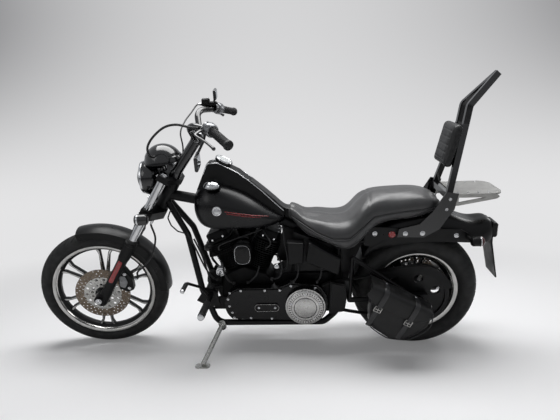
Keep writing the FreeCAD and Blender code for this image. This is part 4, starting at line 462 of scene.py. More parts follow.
def wheel(prefix, axle, bead, flange, half_bead, well, hub, hub_half, spoke_half, spoke_finish):
    """Rim ring, black barrel, hub and split spokes with a face 1 mm proud on either side."""
    body = f"{prefix}_wheel"
    edge = bead + flange
    lip = []
    for side in (-1, 1):
        corners = [(edge, 0.6), (edge, 7), (edge - 6, 8), (bead - 9, 4), (bead - 14, -10), (bead - 4, -12),
                   (bead - 0.4, 0.3)]
        corners = [(radius, side * (half_bead + out)) for radius, out in corners]
        lip.append(lathe(eased(corners, 2.5), axle, ring=True, segments=160))
    piece(f"{prefix}_rim_lips", lip, body, rim_polish, (f"{prefix}_rim",))
    inside = bead - well - 6
    barrel = [(bead - 4, -half_bead + 11), (inside + 8, -0.3 * half_bead), (inside + 8, 0.3 * half_bead),
              (bead - 4, half_bead - 11), (bead - 11, half_bead - 11), (inside, 0.34 * half_bead),
              (inside, -0.34 * half_bead), (bead - 11, -half_bead + 11)]
    hub_profile = [(13, -hub_half), (0.72 * hub, -hub_half), (0.76 * hub, -hub_half + 6),
                   (hub, -0.55 * hub_half), (hub, 0.55 * hub_half), (0.76 * hub, hub_half - 6),
                   (0.72 * hub, hub_half), (13, hub_half)]
    shells = [lathe(eased(barrel, 4), axle, ring=True, segments=160),
              lathe(eased(hub_profile, 2), axle, ring=True, segments=96)]
    faces = []
    reach = inside + 3
    for spoke in range(SPOKES):
        angle = math.radians(FIRST_SPOKE + 360 / SPOKES * spoke)
        out = np.array((math.sin(angle), 0, math.cos(angle)))
        across = np.array((math.cos(angle), 0, -math.sin(angle)))
        frame_of = (axle, across, out, SIDEWAYS)
        for hand in (-1, 1):
            bar = np.array([(1.2, 0.36 * reach), (0.085 * reach, 0.93 * reach), (0.12 * reach, reach),
                            (0.195 * reach, reach), (0.12 * reach, 0.86 * reach),
                            (0.17 * hub + 0.035 * reach, 0.75 * hub), (1.2, 0.75 * hub)]) * (hand, 1)
            shells.append(slab(eased(bar, 3), -spoke_half, spoke_half, 2, frame_of))
            for side in (-1, 1):
                inner = np.array([(0.028 * reach, 0.44 * reach), (0.1 * reach, 0.93 * reach),
                                  (0.125 * reach, 0.985 * reach), (0.172 * reach, 0.985 * reach),
                                  (0.108 * reach, 0.86 * reach), (0.17 * hub + 0.022 * reach, hub),
                                  (0.03 * reach, hub)]) * (hand, 1)
                faces.append(slab(eased(inner, 3), side * (spoke_half - 1), side * (spoke_half + 1),
                                  0.4, frame_of))
    piece(f"{prefix}_wheel_casting", shells, body, black_cast)
    piece(f"{prefix}_spoke_faces", faces, body, spoke_finish)


spoke_polish = finish("machined_spoke_face", "#A9A9A8", "#C6C6C4", (0.2, 0.34), 0.0018, 0.00001,
                      0.04, Metallic=1.0)
spoke_black = finish("gloss_black_spoke_face", "#0D0D0E", "#18181A", (0.2, 0.3), 0.002, 0.00001, 0.06,
                     Coat_Weight=0.5)
wheel("front", FRONT_AXLE, 267, 8, 33, 21, 44, 60, 11, spoke_polish)
wheel("rear", REAR_AXLE, 203, 13, 64, 26, 56, 91, 14, spoke_black)

# Brake discs
# Drilled steel rotors, browned by heat, on bright drilled carriers round the hubs.

rotor_steel = finish("heat_browned_rotor_steel", "#6E6257", "#8A7E70", (0.34, 0.5), 0.0008, 0.00002,
                     0.02, Metallic=1.0)
carrier_steel = finish("zinc_plated_carrier", "#A8A7A4", "#C4C3BF", (0.22, 0.36), 0.001, 0.000004,
                       0.03, Metallic=1.0)


def pierced_ring(axle, inner, outer, near, far, cells, rows, share):
    """Ring with holes: each cell of a polar grid is a patch from its square border in to a round
    hole, down the hole's wall, and back out on the other face."""
    ends = 16
    t = whole_turn(ends) + math.pi / ends
    circle = np.stack([np.cos(t), np.sin(t)], 1)
    border = circle / np.abs(circle).max(1, keepdims=True)
    step = math.pi / cells
    depth = (outer - inner) / rows
    middle = inner + depth * (np.arange(rows) + 0.5)
    hole = share * depth / 2
    radius = middle[:, None] + np.stack([border[:, 1] * depth / 2, circle[:, 1] * hole])[:, None, :]
    border_turn = np.broadcast_to(border[:, 0] * step, (rows, ends))
    turn_of = np.stack([border_turn, circle[:, 0] * hole / middle[:, None]])
    start = (2 * np.arange(cells)[:, None] + np.arange(rows)) * step
    shells = []
    for which, y in ((0, near), (1, near), (1, far), (0, far)):
        r = np.broadcast_to(radius[which], (cells, rows, ends))
        a = start[:, :, None] + turn_of[which]
        shells.append(np.stack([r * np.sin(a), np.full_like(r, y), r * np.cos(a)], -1))
    grid = np.stack(shells, 2).reshape(cells * rows, 4, ends, 3) + axle
    verts = grid.reshape(-1, 3)
    one = np.array(skin(np.zeros((4, ends, 3)), around=True)[1])
    quads = (np.arange(cells * rows)[:, None, None] * 4 * ends + one).reshape(-1, 4)
    rims = [lathe([(edge, near), (edge, far)], axle, segments=cells * 4) for edge in (inner, outer)]
    return [(verts, quads.tolist())] + rims


def brake(prefix, axle, near, far):
    """Rotor band and its carrier, which is a little thicker and laps under the band's inner edge."""
    body = f"{prefix}_wheel"
    band = pierced_ring(axle, 99, 146, near, far, 30, 3, 0.5)
    carrier = pierced_ring(axle, 40, 100, near - 0.6, far + 0.6, 14, 2, 0.52)
    piece(f"{prefix}_rotor", band, body, rotor_steel, (f"{prefix}_brake_disc",))
    piece(f"{prefix}_rotor_carrier", carrier, body, carrier_steel)


brake("front", FRONT_AXLE, -66, -61)
brake("rear", REAR_AXLE, 92.3, 97.3)

# Fork
# Hard-chromed tubes in black cast sliders, with a dust seal on each, a reflector on each
# slider's outer side, and clamp and axle bolts.

chrome = finish("chrome_plate", "#C9CACC", "#D8D9DA", (0.06, 0.14), 0.003, 0.000006, 0.06, Metallic=1.0)
gloss_black = finish("gloss_black_enamel", "#08080A", "#0F0F11", (0.12, 0.22), 0.002, 0.000008, 0.15,
                     Coat_Weight=0.6, Coat_Roughness=0.08)
satin_black = finish("satin_black_powder_coat", "#070708", "#0D0D0E", (0.34, 0.48), 0.0012, 0.00002, 0.08,
                     Specular_IOR_Level=0.25)


def hex_bolts(places, direction, size, height):
    """Round-shouldered button heads with a round socket, each on a washer."""
    shape = [(0, 0.35), (0.3, 0.35), (0.3, 0.95), (0.55, 1.0), (0.8, 0.82), (0.92, 0.5),
             (0.92, 0.16), (1.25, 0.16), (1.25, 0), (0, 0)]
    shape = [(radius * size, level * height) for radius, level in shape]
    return [lathe(shape, np.asarray(place, float), direction, 18) for place in places]


def dress(node, material):
    """Gives a CAD node that keeps its shape the material of the real surface."""
    item = frame["nodes"][node]
    item.data.materials.clear()
    item.data.materials.append(material)


dress("fork_tubes", chrome)
dress("fork_sliders", satin_black)
dress("triple_clamps", satin_black)
red_reflector = finish("red_acrylic_reflector", "#8E0B12", "#B0161C", (0.08, 0.16), 0.0025, 0.0002, 0.02,
                       Coat_Weight=0.8, Coat_Roughness=0.03)
LEG_SIDE = 105
reflectors, seals, fork_bolts = [], [], []
for side in (-1, 1):
    middle = fork_point(61, side * 128, 558)
    outline = eased([(-12, -70), (12, -70), (12, 70), (-12, 70)], 9, 5)
    reflectors.append(slab(outline, 0, side * 7, 1.5, (middle, AHEAD, STEM, SIDEWAYS)))
    leg = fork_point(55, side * LEG_SIDE, 0)
    seals.append(lathe([(21, 744), (27, 744), (29, 748), (27, 756), (22, 759), (21, 757)], leg, STEM,
                       48, ring=True))
    fork_bolts += hex_bolts([fork_point(81, side * (LEG_SIDE + reach), 922) for reach in (-12, 12)], AHEAD,
                            6, 7)
    fork_bolts += hex_bolts([fork_point(83, side * LEG_SIDE, 1133)], AHEAD, 6, 7)
    fork_bolts += hex_bolts([FRONT_AXLE + SIDEWAYS * side * 147], SIDEWAYS * side, 13, 8)
piece("fork_reflectors", reflectors, "steering", red_reflector)
piece("fork_dust_seals", seals, "steering", tyre_rubber)
piece("fork_bolts", fork_bolts, "steering", chrome)

# Headlamp
# A gloss black steel bucket under a brow of the same paint, on a cup behind it. Its convex
# glass has a chromed ring, and a parabolic reflector with a bulb shield behind it.

LAMP = np.array((-540.0, 0, 970))
BEAM = -REARWARD
bucket = [(77, 4), (80.5, 0), (85.5, -11), (88, -24), (87.6, -42), (85, -57), (75, -71), (52, -80),
          (24, -85), (0, -86)]
bucket += [(0, -81), (46, -76), (68, -66), (79, -52), (82, -26), (75, 4)]
brow = []
BROW_FLOOR, BROW_MIDDLE = 1052, 1040
for wall in (0, 4):
    height = 98 - wall
    low_turn = math.asin((BROW_FLOOR - BROW_MIDDLE) / height)
    climb = np.linspace(low_turn, math.pi / 2, 22)[:, None]
    ring = whole_turn(96)[None]
    x = -430 + height * np.cos(climb) * np.cos(ring)
    y = (94 - wall) * np.cos(climb) * np.sin(ring)
    z = BROW_MIDDLE + height * np.sin(climb) + 0 * ring + 0.07 * (x + 428) * (np.cos(climb) > 0.9)
    brow.append(np.stack([x, y, z], -1))
brow_points = np.concatenate([brow[0][::-1], brow[1]])
cup = lathe([(0, 30), (34, 26), (50, 14), (54, 0), (48, -14), (30, -24), (0, -27)], (-444, 0, 1004), BEAM, 64)
piece("headlamp_bucket", [lathe(bucket, LAMP, BEAM, 96), skin(brow_points, around=True), cup],
      "steering", gloss_black, ("headlamp_and_cowl",))
bezel = [(71, 6), (74, 9), (79, 8), (82, 3), (82, -4), (79, -6), (75, -2), (71, 3)]
piece("headlamp_ring", [lathe(bezel, LAMP, BEAM, 96, ring=True)], "steering", chrome)
dish = [(12, -52), (30, -46), (52, -30), (66, -10), (72, 2), (73, 1), (68, -12), (54, -33),
        (31, -50), (12, -56)]
shield = [(0, -8), (14, -10), (19, -16), (19, -34), (12, -40), (12, -46), (0, -48)]
reflector_chrome = finish("aluminised_reflector", "#D5D7D8", "#E6E7E6", (0.2, 0.3), 0.012, 0.0009,
                          0.05, Metallic=0.5)
piece("headlamp_reflector", [lathe(dish, LAMP, BEAM, 96, ring=True), lathe(shield, LAMP, BEAM, 32)],
      "steering", reflector_chrome)
lamp_glass = finish("moulded_lamp_glass", "#DFE2E3", "#F0F2F2", (0.05, 0.12), 0.008, 0.0004, 0.2,
                    Transmission_Weight=0.4, IOR=1.45)
dome = np.linspace(0, 1, 12)
outer_glass = np.stack([72 * (1 - dome), 6 + 25 * np.sin(dome * math.pi / 2) ** 0.9], 1)
inner_glass = np.stack([70 * dome, 6 + 22 * np.sin((1 - dome) * math.pi / 2) ** 0.9], 1)
piece("headlamp_glass", [lathe(np.concatenate([outer_glass, inner_glass]), LAMP, BEAM, 96, ring=True)],
      "steering", lamp_glass)

# Bars and hand controls
# A bent steel bar painted black in bright clamps. It has ribbed rubber grips, cast switch
# housings, gloss black levers in cast perches, and a brake reservoir on the right.

dress("handlebar", gloss_black)
housing_alloy = finish("satin_cast_alloy", "#6F7072", "#8B8C8E", (0.28, 0.42), 0.0012, 0.00003,
                       0.03, Metallic=0.9)
grip_rubber = finish("moulded_grip_rubber", "#121213", "#1D1D1E", (0.55, 0.75), 0.0009, 0.00012, 0.03)
BAR_INNER = np.array((-150.0, 282, 1250))
BAR_END = np.array((-75.0, 402, 1209))


def smooth(points, steps):
    """Catmull-Rom curve through points, or through rows of points."""
    points = np.asarray(points, float)
    shape = points.shape[1:]
    p = points.reshape(len(points), -1)
    p = np.vstack([2 * p[0] - p[1], p, 2 * p[-1] - p[-2]])
    t = np.linspace(0, 1, steps, endpoint=False)[:, None, None]
    a, b, c, d = p[:-3], p[1:-2], p[2:-1], p[3:]
    curve = 0.5 * (2 * b + (c - a) * t + (2 * a - 5 * b + 4 * c - d) * t**2 + (3 * b - a - 3 * c + d) * t**3)
    curve = np.vstack([curve.transpose(1, 0, 2).reshape(-1, p.shape[1]), p[-2:-1]])
    return curve.reshape(-1, *shape)


def sweep(path, radius, sides, flat=(1.0, 1.0)):
    """Closed tube: rings carried square to a path, their reference taken from the path's plane.
    radius is a number or one for each point, and flat scales the ring's two axes."""
    path = np.asarray(path, float)
    run = np.gradient(path, axis=0)
    run /= np.linalg.norm(run, axis=1, keepdims=True)
    plane = np.array((0.3, 0.9, 0.2))
    if len(path) > 2:
        plane = np.linalg.svd(path - path.mean(0) + 1e-9 * np.arange(3))[2][2]
    if abs(run @ plane).max() > 0.9:
        plane = np.eye(3)[np.argmin(np.abs(run).max(0))]
    side = np.cross(run, plane)
    side /= np.linalg.norm(side, axis=1, keepdims=True)
    other = np.cross(run, side)
    turn_of = whole_turn(sides)[None, :, None]
    size = np.broadcast_to(radius, len(path))[:, None, None]
    leaf = flat[0] * np.cos(turn_of) * side[:, None] + flat[1] * np.sin(turn_of) * other[:, None]
    ring = path[:, None] + size * leaf
    ends = [np.broadcast_to(path[at], (1, sides, 3)) for at in (0, -1)]
    return skin(np.concatenate([ends[0], ring, ends[1]]), around=True)


def squared(wave, power):
    """A wave's size raised to a power under 1, with its sign kept, which squares off its crests."""
    return np.sign(wave) * np.abs(wave) ** power


def blob(centre, radii, power, count, axes=np.eye(3)):
    """Rounded block: a superellipsoid, whose power runs from 2, an egg, towards a box."""
    climb = np.linspace(-math.pi / 2, math.pi / 2, count)[:, None]
    ring = whole_turn(2 * count)[None]
    (cos_climb, sin_climb), (cos_ring, sin_ring) = (
        [squared(wave, 2 / power) for wave in (np.cos(angle), np.sin(angle))] for angle in (climb, ring))
    local = np.stack([cos_climb * cos_ring, cos_climb * sin_ring, sin_climb + 0 * ring], -1) * radii
    return skin(centre + local @ np.asarray(axes, float), around=True)


GRIP_LENGTH = 128
grips, housings, levers, perches = [], [], [], []
for side in (-1, 1):
    end = BAR_END * (1, side, 1)
    inner = BAR_INNER * (1, side, 1)
    out = (end - inner) / np.linalg.norm(end - inner)
    start = end - out * GRIP_LENGTH
    profile = [(16.4, 0), (22, 0), (23, 2), (22, 5)]
    for rib in range(24):
        at = 8 + 4.6 * rib
        profile += [(18.6, at), (18.6, at + 1.2), (19.6, at + 1.8), (19.6, at + 3.8)]
    profile += [(18.8, 120), (22, 122), (23, 127), (22, 134), (14, 136), (0, 136), (0, 130), (16.4, 128)]
    grips.append(lathe(profile, start, out, 40, ring=True))
    back = np.cross(out, (0, 0, 1))
    back /= np.linalg.norm(back)
    rise = np.cross(back, out)
    shell = [(16.4, -44), (24, -44), (29, -40), (31, -34), (31, -12), (29, -4), (24, -2), (16.4, -2)]
    housings.append(lathe(eased(shell, 3), start, out, 48, ring=True))
    housings.append(blob(start - out * 23 + rise * 14 + back * side * -6, (17, 20, 18), 3, 14,
                         (out, back, rise)))
    pivot = start - out * 30 + np.array((-34, 0, -2))
    tip = end + np.array((-62, -side * 12, -14))
    middle = start + np.array((-74, side * 20, -6))
    path = smooth([pivot, (pivot + middle) / 2 + (-6, 0, 1), middle, (middle + tip) / 2 + (2, 0, 2), tip], 8)
    thick = np.interp(np.linspace(0, 1, len(path)), [0, 0.1, 0.5, 0.93, 1], [9, 8, 6.2, 6.4, 8.4])
    levers.append(sweep(path, thick, 16, (1.0, 0.75)))
    levers.append(blob(tip, (8.5, 8.5, 8.5), 2, count=10))
    perches.append(lathe(eased([(16.4, -62), (23, -62), (23, -45), (16.4, -45)], 3), start, out,
                         40, ring=True))
    perches.append(sweep([start - out * 54 + (-16, 0, 0), pivot + (4, 0, 0), pivot + (-6, 0, 0)],
                         (10, 12, 9), 14, (1, 0.8)))
    perches += hex_bolts([pivot + (0, 0, 9), start - out * 50 + rise * 22], UPWARD, 6, 6)
    perches += hex_bolts([start - out * 58 + back * 20], back, 5, 5)
piece("hand_grips", grips, "steering", grip_rubber, ("grips",))
piece("switch_housings", housings, "steering", housing_alloy, ("hand_controls",))
piece("hand_levers", levers, "steering", gloss_black)
piece("lever_perches", perches, "steering", housing_alloy)
reservoir = [blob((-196, 259, 1282), (44, 17, 12), 4, count=14),
             lathe(eased([(0, 0), (23, 0), (23, 20), (21, 26), (0, 28)], 2), (-214, 258, 1284), UPWARD, 40)]
piece("brake_reservoir", reservoir, "steering", satin_black)
piece("reservoir_screws", hex_bolts([(-226, 252, 1312), (-202, 264, 1312)], UPWARD, 3.4, 2.5),
      "steering", chrome)
dress("mirrors", gloss_black)
clamp_tops = [blob((-243, side * 46, 1186), (24, 17, 9), 3.4, count=14) for side in (-1, 1)]
clamp_bolts = hex_bolts([(-243 + step, side * 46, 1193) for side in (-1, 1) for step in (-12, 12)], UPWARD,
                        5, 6)
piece("bar_clamps", clamp_tops, "steering", chrome)
piece("bar_clamp_bolts", clamp_bolts, "steering", satin_black)

# Front fender and lamps
# Pressed steel in satin black. The turn lamps have smoked lenses in bright rings, and the
# caliper an alloy face with bolts. The bars' cables, hoses and mirror glasses come here too.

fender_paint = finish("satin_black_enamel_on_steel", "#080809", "#0D0D0E", (0.26, 0.38), 0.0015,
                      0.000012, 0.12, Specular_IOR_Level=0.25)
dress("front_fender", fender_paint)
dress("front_axle_set", satin_black)
dress("front_turn_lamps", gloss_black)
cable_rubber = finish("extruded_cable_jacket", "#0C0C0D", "#161617", (0.42, 0.58), 0.0012, 0.00004, 0.04)
dress("clutch_cable", cable_rubber)
wiring = [(-206, -259, 1258), (-240, -256, 1262), (-310, -205, 1268), (-378, -145, 1246), (-440, -115, 1198),
          (-474, -102, 1150), (-476, -90, 1108), (-464, -68, 1088)]
master_hose = [(-232, 259, 1282), (-262, 254, 1280), (-290, 200, 1250), (-316, 110, 1222), (-334, 40, 1180),
               (-326, 6, 1110), fork_point(-8, 0, 1188), fork_point(-8, 0, 1146)]
brake_hose = [fork_point(10, -100, 906), fork_point(8, -101, 878), fork_point(-42, -115, 825),
              fork_point(-65, -118, 736), fork_point(-58, -114, 655), (-629, -98, 480), (-642, -74, 430),
              (-668, -72, 424)]
jackets = [sweep(smooth(path, 10), size, 14) for path, size in
           ((wiring, 5.6), (master_hose, 3.8), (brake_hose, 5.0))]
piece("bar_cable_jackets", jackets, "steering", cable_rubber, ("bar_cables",))
ferrules = [lathe(eased([(0, -2), (7, -2), (7, 14), (5, 22), (0, 22)], 1.4), place, way, 20) for place, way in
            ((fork_point(10, -100, 902), -STEM), (np.array((-664.0, -72, 424)), (1, 0, 0)),
             (fork_point(-8, 0, 1146), STEM), (np.array((-236.0, 258, 1282)), (-1, 0, 0)))]
piece("hose_ferrules", ferrules, "steering", chrome)
amber_lens = finish("smoked_amber_lens", "#6E2A08", "#8A3A10", (0.06, 0.14), 0.0022, 0.00025, 0.02,
                    Coat_Weight=0.8)
red_lens = finish("red_lamp_lens", "#6C0509", "#8C0A10", (0.06, 0.14), 0.0028, 0.0003, 0.02, Coat_Weight=0.8)
edge = np.array((60.0, -6, 0)) / math.hypot(60, 6)
outward = np.array((edge[1], -edge[0], 0))
behind, across, along = np.array((-55.0, -132, 925)) + outward * 46.3
lamp_middle = fork_point(-behind, across, along)
lenses, rings, fittings = [], [], []
for side in (-1, 1):
    lamp_root = (lamp_middle + (-33, -14, 0)) * (1, -side, 1)
    lenses.append(lathe([(0, -1.5), (12, -1), (20, 3), (22.5, 9), (15, 9), (0, 4)], lamp_root, REARWARD, 48))
    rings.append(lathe(eased([(22, 7), (28.4, 12), (28.4, 20), (22, 20)], 2), lamp_root, REARWARD,
                       48, ring=True))
    fittings += hex_bolts([fork_point(75, side * 76, level) for level in (700, 736)], AHEAD, 5, 5)
piece("front_turn_lenses", lenses, "steering", amber_lens)
piece("front_turn_rings", rings, "steering", chrome)
fittings += hex_bolts([(-700, -98, 470), (-688, -98, 385)], -SIDEWAYS, 7, 5)
fittings += hex_bolts([(-722, -98, 432)], -SIDEWAYS, 4, 9)
piece("caliper_bolts", fittings, "steering", chrome)
pads = [slab(eased([(-736, 400), (-710, 386), (-690, 420), (-700, 456), (-730, 462)], 8), -96, -99.5, 1.4)]
piece("caliper_face", pads, "steering", housing_alloy)
glass = finish("silvered_mirror_glass", "#B8BDC2", "#C6CACE", (0.02, 0.05), 0.01, 0.000002, 0.1, Metallic=1.0)
panes = []
for middle, wide, high in (((-216, -292, 1117), 52, 27), ((-154, 276, 1329), 44, 21)):
    outline = eased([(-wide, -high), (wide, -high), (wide, high), (-wide, high)], 12, 6)
    panes.append(slab(outline, 0, 1.2, 0.4, (np.array(middle, float), SIDEWAYS, UPWARD, REARWARD)))
piece("mirror_glasses", panes, "steering", glass)

# Fuel tank
# Two pressed steel lobes over the backbone in black enamel, with a boss and two red stripes
# on each side. The console has bright trims and a pale dial, and each lobe a chromed cap.

tank_paint = finish("black_tank_enamel", "#0A0A0C", "#0F0F11", (0.24, 0.34), 0.002, 0.000008, 0.2,
                    Specular_IOR_Level=0.35)
dress("fuel_tank", tank_paint)
dress("tank_fittings", satin_black)


def laid(places, node, way, lift=0.0):
    """Casts a ray from each upright point along a direction on to a CAD node, and gives the
    points where they land, raised by lift along the surface's normal."""
    item = frame["nodes"][node]
    tree_of = BVHTree.FromPolygons([item.matrix_world @ vert.co for vert in item.data.vertices],
                                   [list(face.vertices) for face in item.data.polygons])
    way = np.asarray(way, float)
    landed = []
    for start in np.asarray(places, float):
        hit, normal, _, _ = tree_of.ray_cast(Vector(stood(start - 300 * way)), Vector(STANCE @ way), 0.9)
        if hit is not None:
            spot = (np.array(hit) * 1000 - SHIFT) @ STANCE
            facing = np.array(normal) @ STANCE
            landed.append(spot + lift * facing * (-1 if facing @ way > 0 else 1))
    return np.array(landed)


boss_profile = [(0, 6), (10, 5.4), (13, 3.4), (17, 3.2), (20, 5), (23, 4), (25, -1), (0, -1)]
stripes, bosses = [], []
for side in (-1, 1):
    for drop, start, end in ((0, -116, 96), (9, -108, 60)):
        along_x = np.linspace(start, end, 60)
        line = np.stack([along_x, 0 * along_x + side * 60, 812 - drop - 0.19 * (along_x + 116)], 1)
        breadth = 3.4 * np.sin(np.linspace(0.5, math.pi - 0.1, 60)) ** 0.5
        stripes.append(sweep(laid(line, "fuel_tank", (0, -side, 0), -0.4), breadth, 10))
    spot = laid([(-154, side * 60, 816)], "fuel_tank", (0, -side, 0))[0]
    bosses.append(lathe(boss_profile, spot, (0, side, 0.12), 48))
red_line = finish("red_pinstripe_enamel", "#7E1216", "#8E181C", (0.2, 0.32), 0.002, 0.00001, 0.05,
                  Coat_Weight=0.5)
piece("tank_pinstripes", stripes, "chassis", red_line)
piece("tank_bosses", bosses, "chassis", chrome)
console_edge = np.array([(-226, 982), (-205, 1030), (-198, 1034), (-152, 1036), (-130, 1026), (-54, 984),
                         (8, 935), (68, 881), (120, 828), (168, 781)], float)
cap_profile = [(0, 58), (16.6, 56), (29.6, 50), (38.6, 41), (42.6, 34), (42.6, 26), (38.6, 22)]
trims, caps = [], []
for side in (-1, 1):
    trims.append(sweep(np.insert(console_edge, 1, side * 43.5, 1), 2.6, 10))
    caps.append(lathe(cap_profile, np.array((-178.0, side * 84, 900)), UPWARD, 72))
DIAL = np.array((-130.0, 0, 1029))
DIAL_TILT = math.radians(28)
DIAL_UP = np.array((math.sin(DIAL_TILT), 0, math.cos(DIAL_TILT)))
DIAL_ACROSS = np.array((math.cos(DIAL_TILT), 0, -math.sin(DIAL_TILT)))
caps.append(lathe(eased([(37, 15), (45.2, 12), (46.4, 16), (43, 21), (38, 19)], 1.5), DIAL, DIAL_UP,
                  96, ring=True))
piece("tank_caps_and_dial_ring", caps, "chassis", chrome)
piece("console_trims", trims, "chassis", chrome)
tongue = smooth([(8, 0, 941), (68, 0, 889), (120, 0, 841), (158, 0, 804), (184, 0, 789), (216, 0, 788)], 8)
piece("tank_bib", [sweep(tongue, 1.0, 24, (3.0, 37))], "chassis", cable_rubber)
dial_face = finish("pale_printed_dial", "#B9B6A8", "#C9C6B8", (0.35, 0.5), 0.002, 0.00001, 0.05)
piece("dial_face", [lathe([(0, 16.6), (38, 16.6), (38, 15), (0, 15)], DIAL, DIAL_UP, 64)],
      "chassis", dial_face)


def on_dial(turn_at):
    """Frame whose second direction points from the dial's middle at an angle to its front."""
    out = math.cos(turn_at) * -DIAL_ACROSS + math.sin(turn_at) * SIDEWAYS
    return DIAL, np.cross(DIAL_UP, out), out, DIAL_UP


marks = [slab([(-0.8, 27), (0.8, 27), (0.8, 34), (-0.8, 34)], 16.8, 17.3, 0.1, on_dial(turn_at))
         for turn_at in np.radians(np.arange(-130, 131, 13))]
piece("dial_marks", marks, "chassis", satin_black)
needle = [slab([(-1.6, -8), (1.6, -8), (0.5, 28), (-0.5, 28)], 17.6, 18.4, 0.2, on_dial(-1.9)),
          lathe([(0, 19.4), (3.5, 19), (4, 17), (0, 17)], DIAL, DIAL_UP, 24)]
piece("dial_needle", needle, "chassis", red_line)
dial_glass = [lathe([(0, 23.5), (20, 22.6), (38, 19.5), (38, 18.8), (20, 21.8), (0, 22.7)],
                    DIAL, DIAL_UP, 64)]
piece("dial_glass", dial_glass, "chassis", lamp_glass)

# Seat and backrest pad
# Foam under stretched black leather, with a piped seam round the shoulder and a seam across
# the step. Each starts from its solid, is remeshed and swells under pressure.

leather = finish("grained_black_leather", "#262627", "#353536", (0.34, 0.44), 0.0024, 0.00012, 0.07,
                 Sheen_Weight=0.18, Specular_IOR_Level=0.75)
piping_leather = finish("stretched_piping_leather", "#1A1A1B", "#262628", (0.3, 0.4), 0.002, 0.0001, 0.03)


def swollen(name, node, voxel, cap, hold, groove, material):
    """Copies a CAD node, remeshes it and lets it swell as cloth under pressure by at most cap, held
    where hold(upright points, upright normals) is 1. Then it presses sewn grooves into it: groove
    gives each point's share of their depth."""
    groove_depth, frames = 3.0, 20
    source = frame["nodes"][node]
    mesh = source.data.copy()
    mesh.transform(source.matrix_world)
    item = bpy.data.objects.new(name, mesh)
    scene.collection.objects.link(item)
    modifier = item.modifiers.new("voxels", "REMESH")
    modifier.mode, modifier.voxel_size, modifier.use_smooth_shade = "VOXEL", voxel, True

    def applied():
        """Replaces the mesh with what its modifiers make of it."""
        made = bpy.data.meshes.new_from_object(item.evaluated_get(bpy.context.evaluated_depsgraph_get()))
        item.modifiers.clear()
        item.data = made

    def upright(kind):
        """The mesh's points in upright millimetres, or its normals."""
        values = np.empty(3 * len(item.data.vertices))
        item.data.vertices.foreach_get(kind, values)
        values = values.reshape(-1, 3)
        return (values * 1000 - SHIFT) @ STANCE if kind == "co" else values @ STANCE

    applied()
    start, facing = upright("co"), upright("normal")
    held = np.clip(hold(start, facing), 0, 1)
    moved = start.copy()
    group = item.vertex_groups.new(name="held")
    for level in np.unique(np.round(held, 1)):
        group.add(np.flatnonzero(np.round(held, 1) == level).tolist(), float(level), "REPLACE")
    cloth = item.modifiers.new("swell", "CLOTH")
    cloth.settings.quality = 4
    cloth.settings.use_pressure = True
    cloth.settings.uniform_pressure_force = 4
    cloth.settings.tension_stiffness = cloth.settings.compression_stiffness = 12
    cloth.settings.vertex_group_mass = "held"
    cloth.settings.effector_weights.gravity = 0
    cloth.collision_settings.use_self_collision = False
    cloth.point_cache.frame_end = frames
    for step in range(1, frames + 1):
        scene.frame_set(step)
    applied()
    moved = upright("co")
    scene.frame_set(1)
    edges = np.empty(2 * len(item.data.edges), int)
    item.data.edges.foreach_get("vertices", edges)
    one, other = edges.reshape(-1, 2).T
    shares = np.bincount(one, minlength=len(start)) + np.bincount(other, minlength=len(start))

    def calmed(values, times):
        """Draws each point's value half of the way to the mean of its neighbours', several times."""
        for _ in range(times):
            total = np.zeros_like(values)
            for here, there in ((one, other), (other, one)):
                for at in range(3):
                    total[:, at] += np.bincount(here, values[there, at], len(values))
            values = 0.5 * values + 0.5 * total / shares[:, None]
        return values

    travel = calmed(moved - start, 90)
    start = calmed(start, 5)
    reach = np.linalg.norm(travel, axis=1, keepdims=True)
    moved = start + travel * np.minimum(1, cap / np.maximum(reach, 1e-6)) * (1 - held[:, None])
    moved = moved - groove_depth * facing * (groove(start, facing) * (1 - held))[:, None]
    item.data.vertices.foreach_set("co", stood(moved).ravel())
    item.data.update()
    item.data.materials.clear()
    item.data.materials.append(material)
    for face in item.data.polygons:
        face.use_smooth = True
    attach(item, "chassis")
    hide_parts(node)


def seat_shoulder(x):
    """Height of the seat's piped shoulder at a place along it."""
    return np.interp(x, [194, 250, 330, 410, 490, 550, 610, 720, 830, 900, 935],
                     [764, 736, 694, 666, 668, 716, 768, 784, 792, 800, 812])


def seat_hold(points, facing):
    """Held where the seat lies on the frame and the fender, and all along its lower edge."""
    low_edge = np.clip((seat_shoulder(points[:, 0]) - 24 - points[:, 2]) / 10, 0, 1)
    return np.maximum(low_edge, np.clip((-facing[:, 2] - 0.1) * 4, 0, 1))


def seat_groove(points, facing):
    """The sewn valley that the piping lies in, and the seam across the step between the places."""
    valley = np.exp(-((points[:, 2] - seat_shoulder(points[:, 0])) / 5) ** 2) * (np.abs(facing[:, 1]) > 0.4)
    across = np.exp(-((points[:, 0] - 0.35 * points[:, 2] - 300) / 5) ** 2) * (facing[:, 2] > 0.3)
    return 0.7 * valley + 0.7 * across


swollen("seat_cover", "seat", 0.005, 6, seat_hold, seat_groove, leather)


def pad_hold(points, facing):
    """Held on the back, where the pad lies on its cross bars."""
    return np.clip((facing[:, 0] - 0.5) * 4, 0, 1)


def pad_groove(points, facing):
    """Channels sewn across the pad's face."""
    pitch = 34.0
    across = np.abs((points[:, 2] - 4) / pitch - np.round((points[:, 2] - 4) / pitch)) * pitch
    face = np.clip((-facing[:, 0] - 0.4) * 4, 0, 1) * (np.abs(points[:, 1]) < 74)
    return 1.1 * np.exp(-(across / 4) ** 2) * face


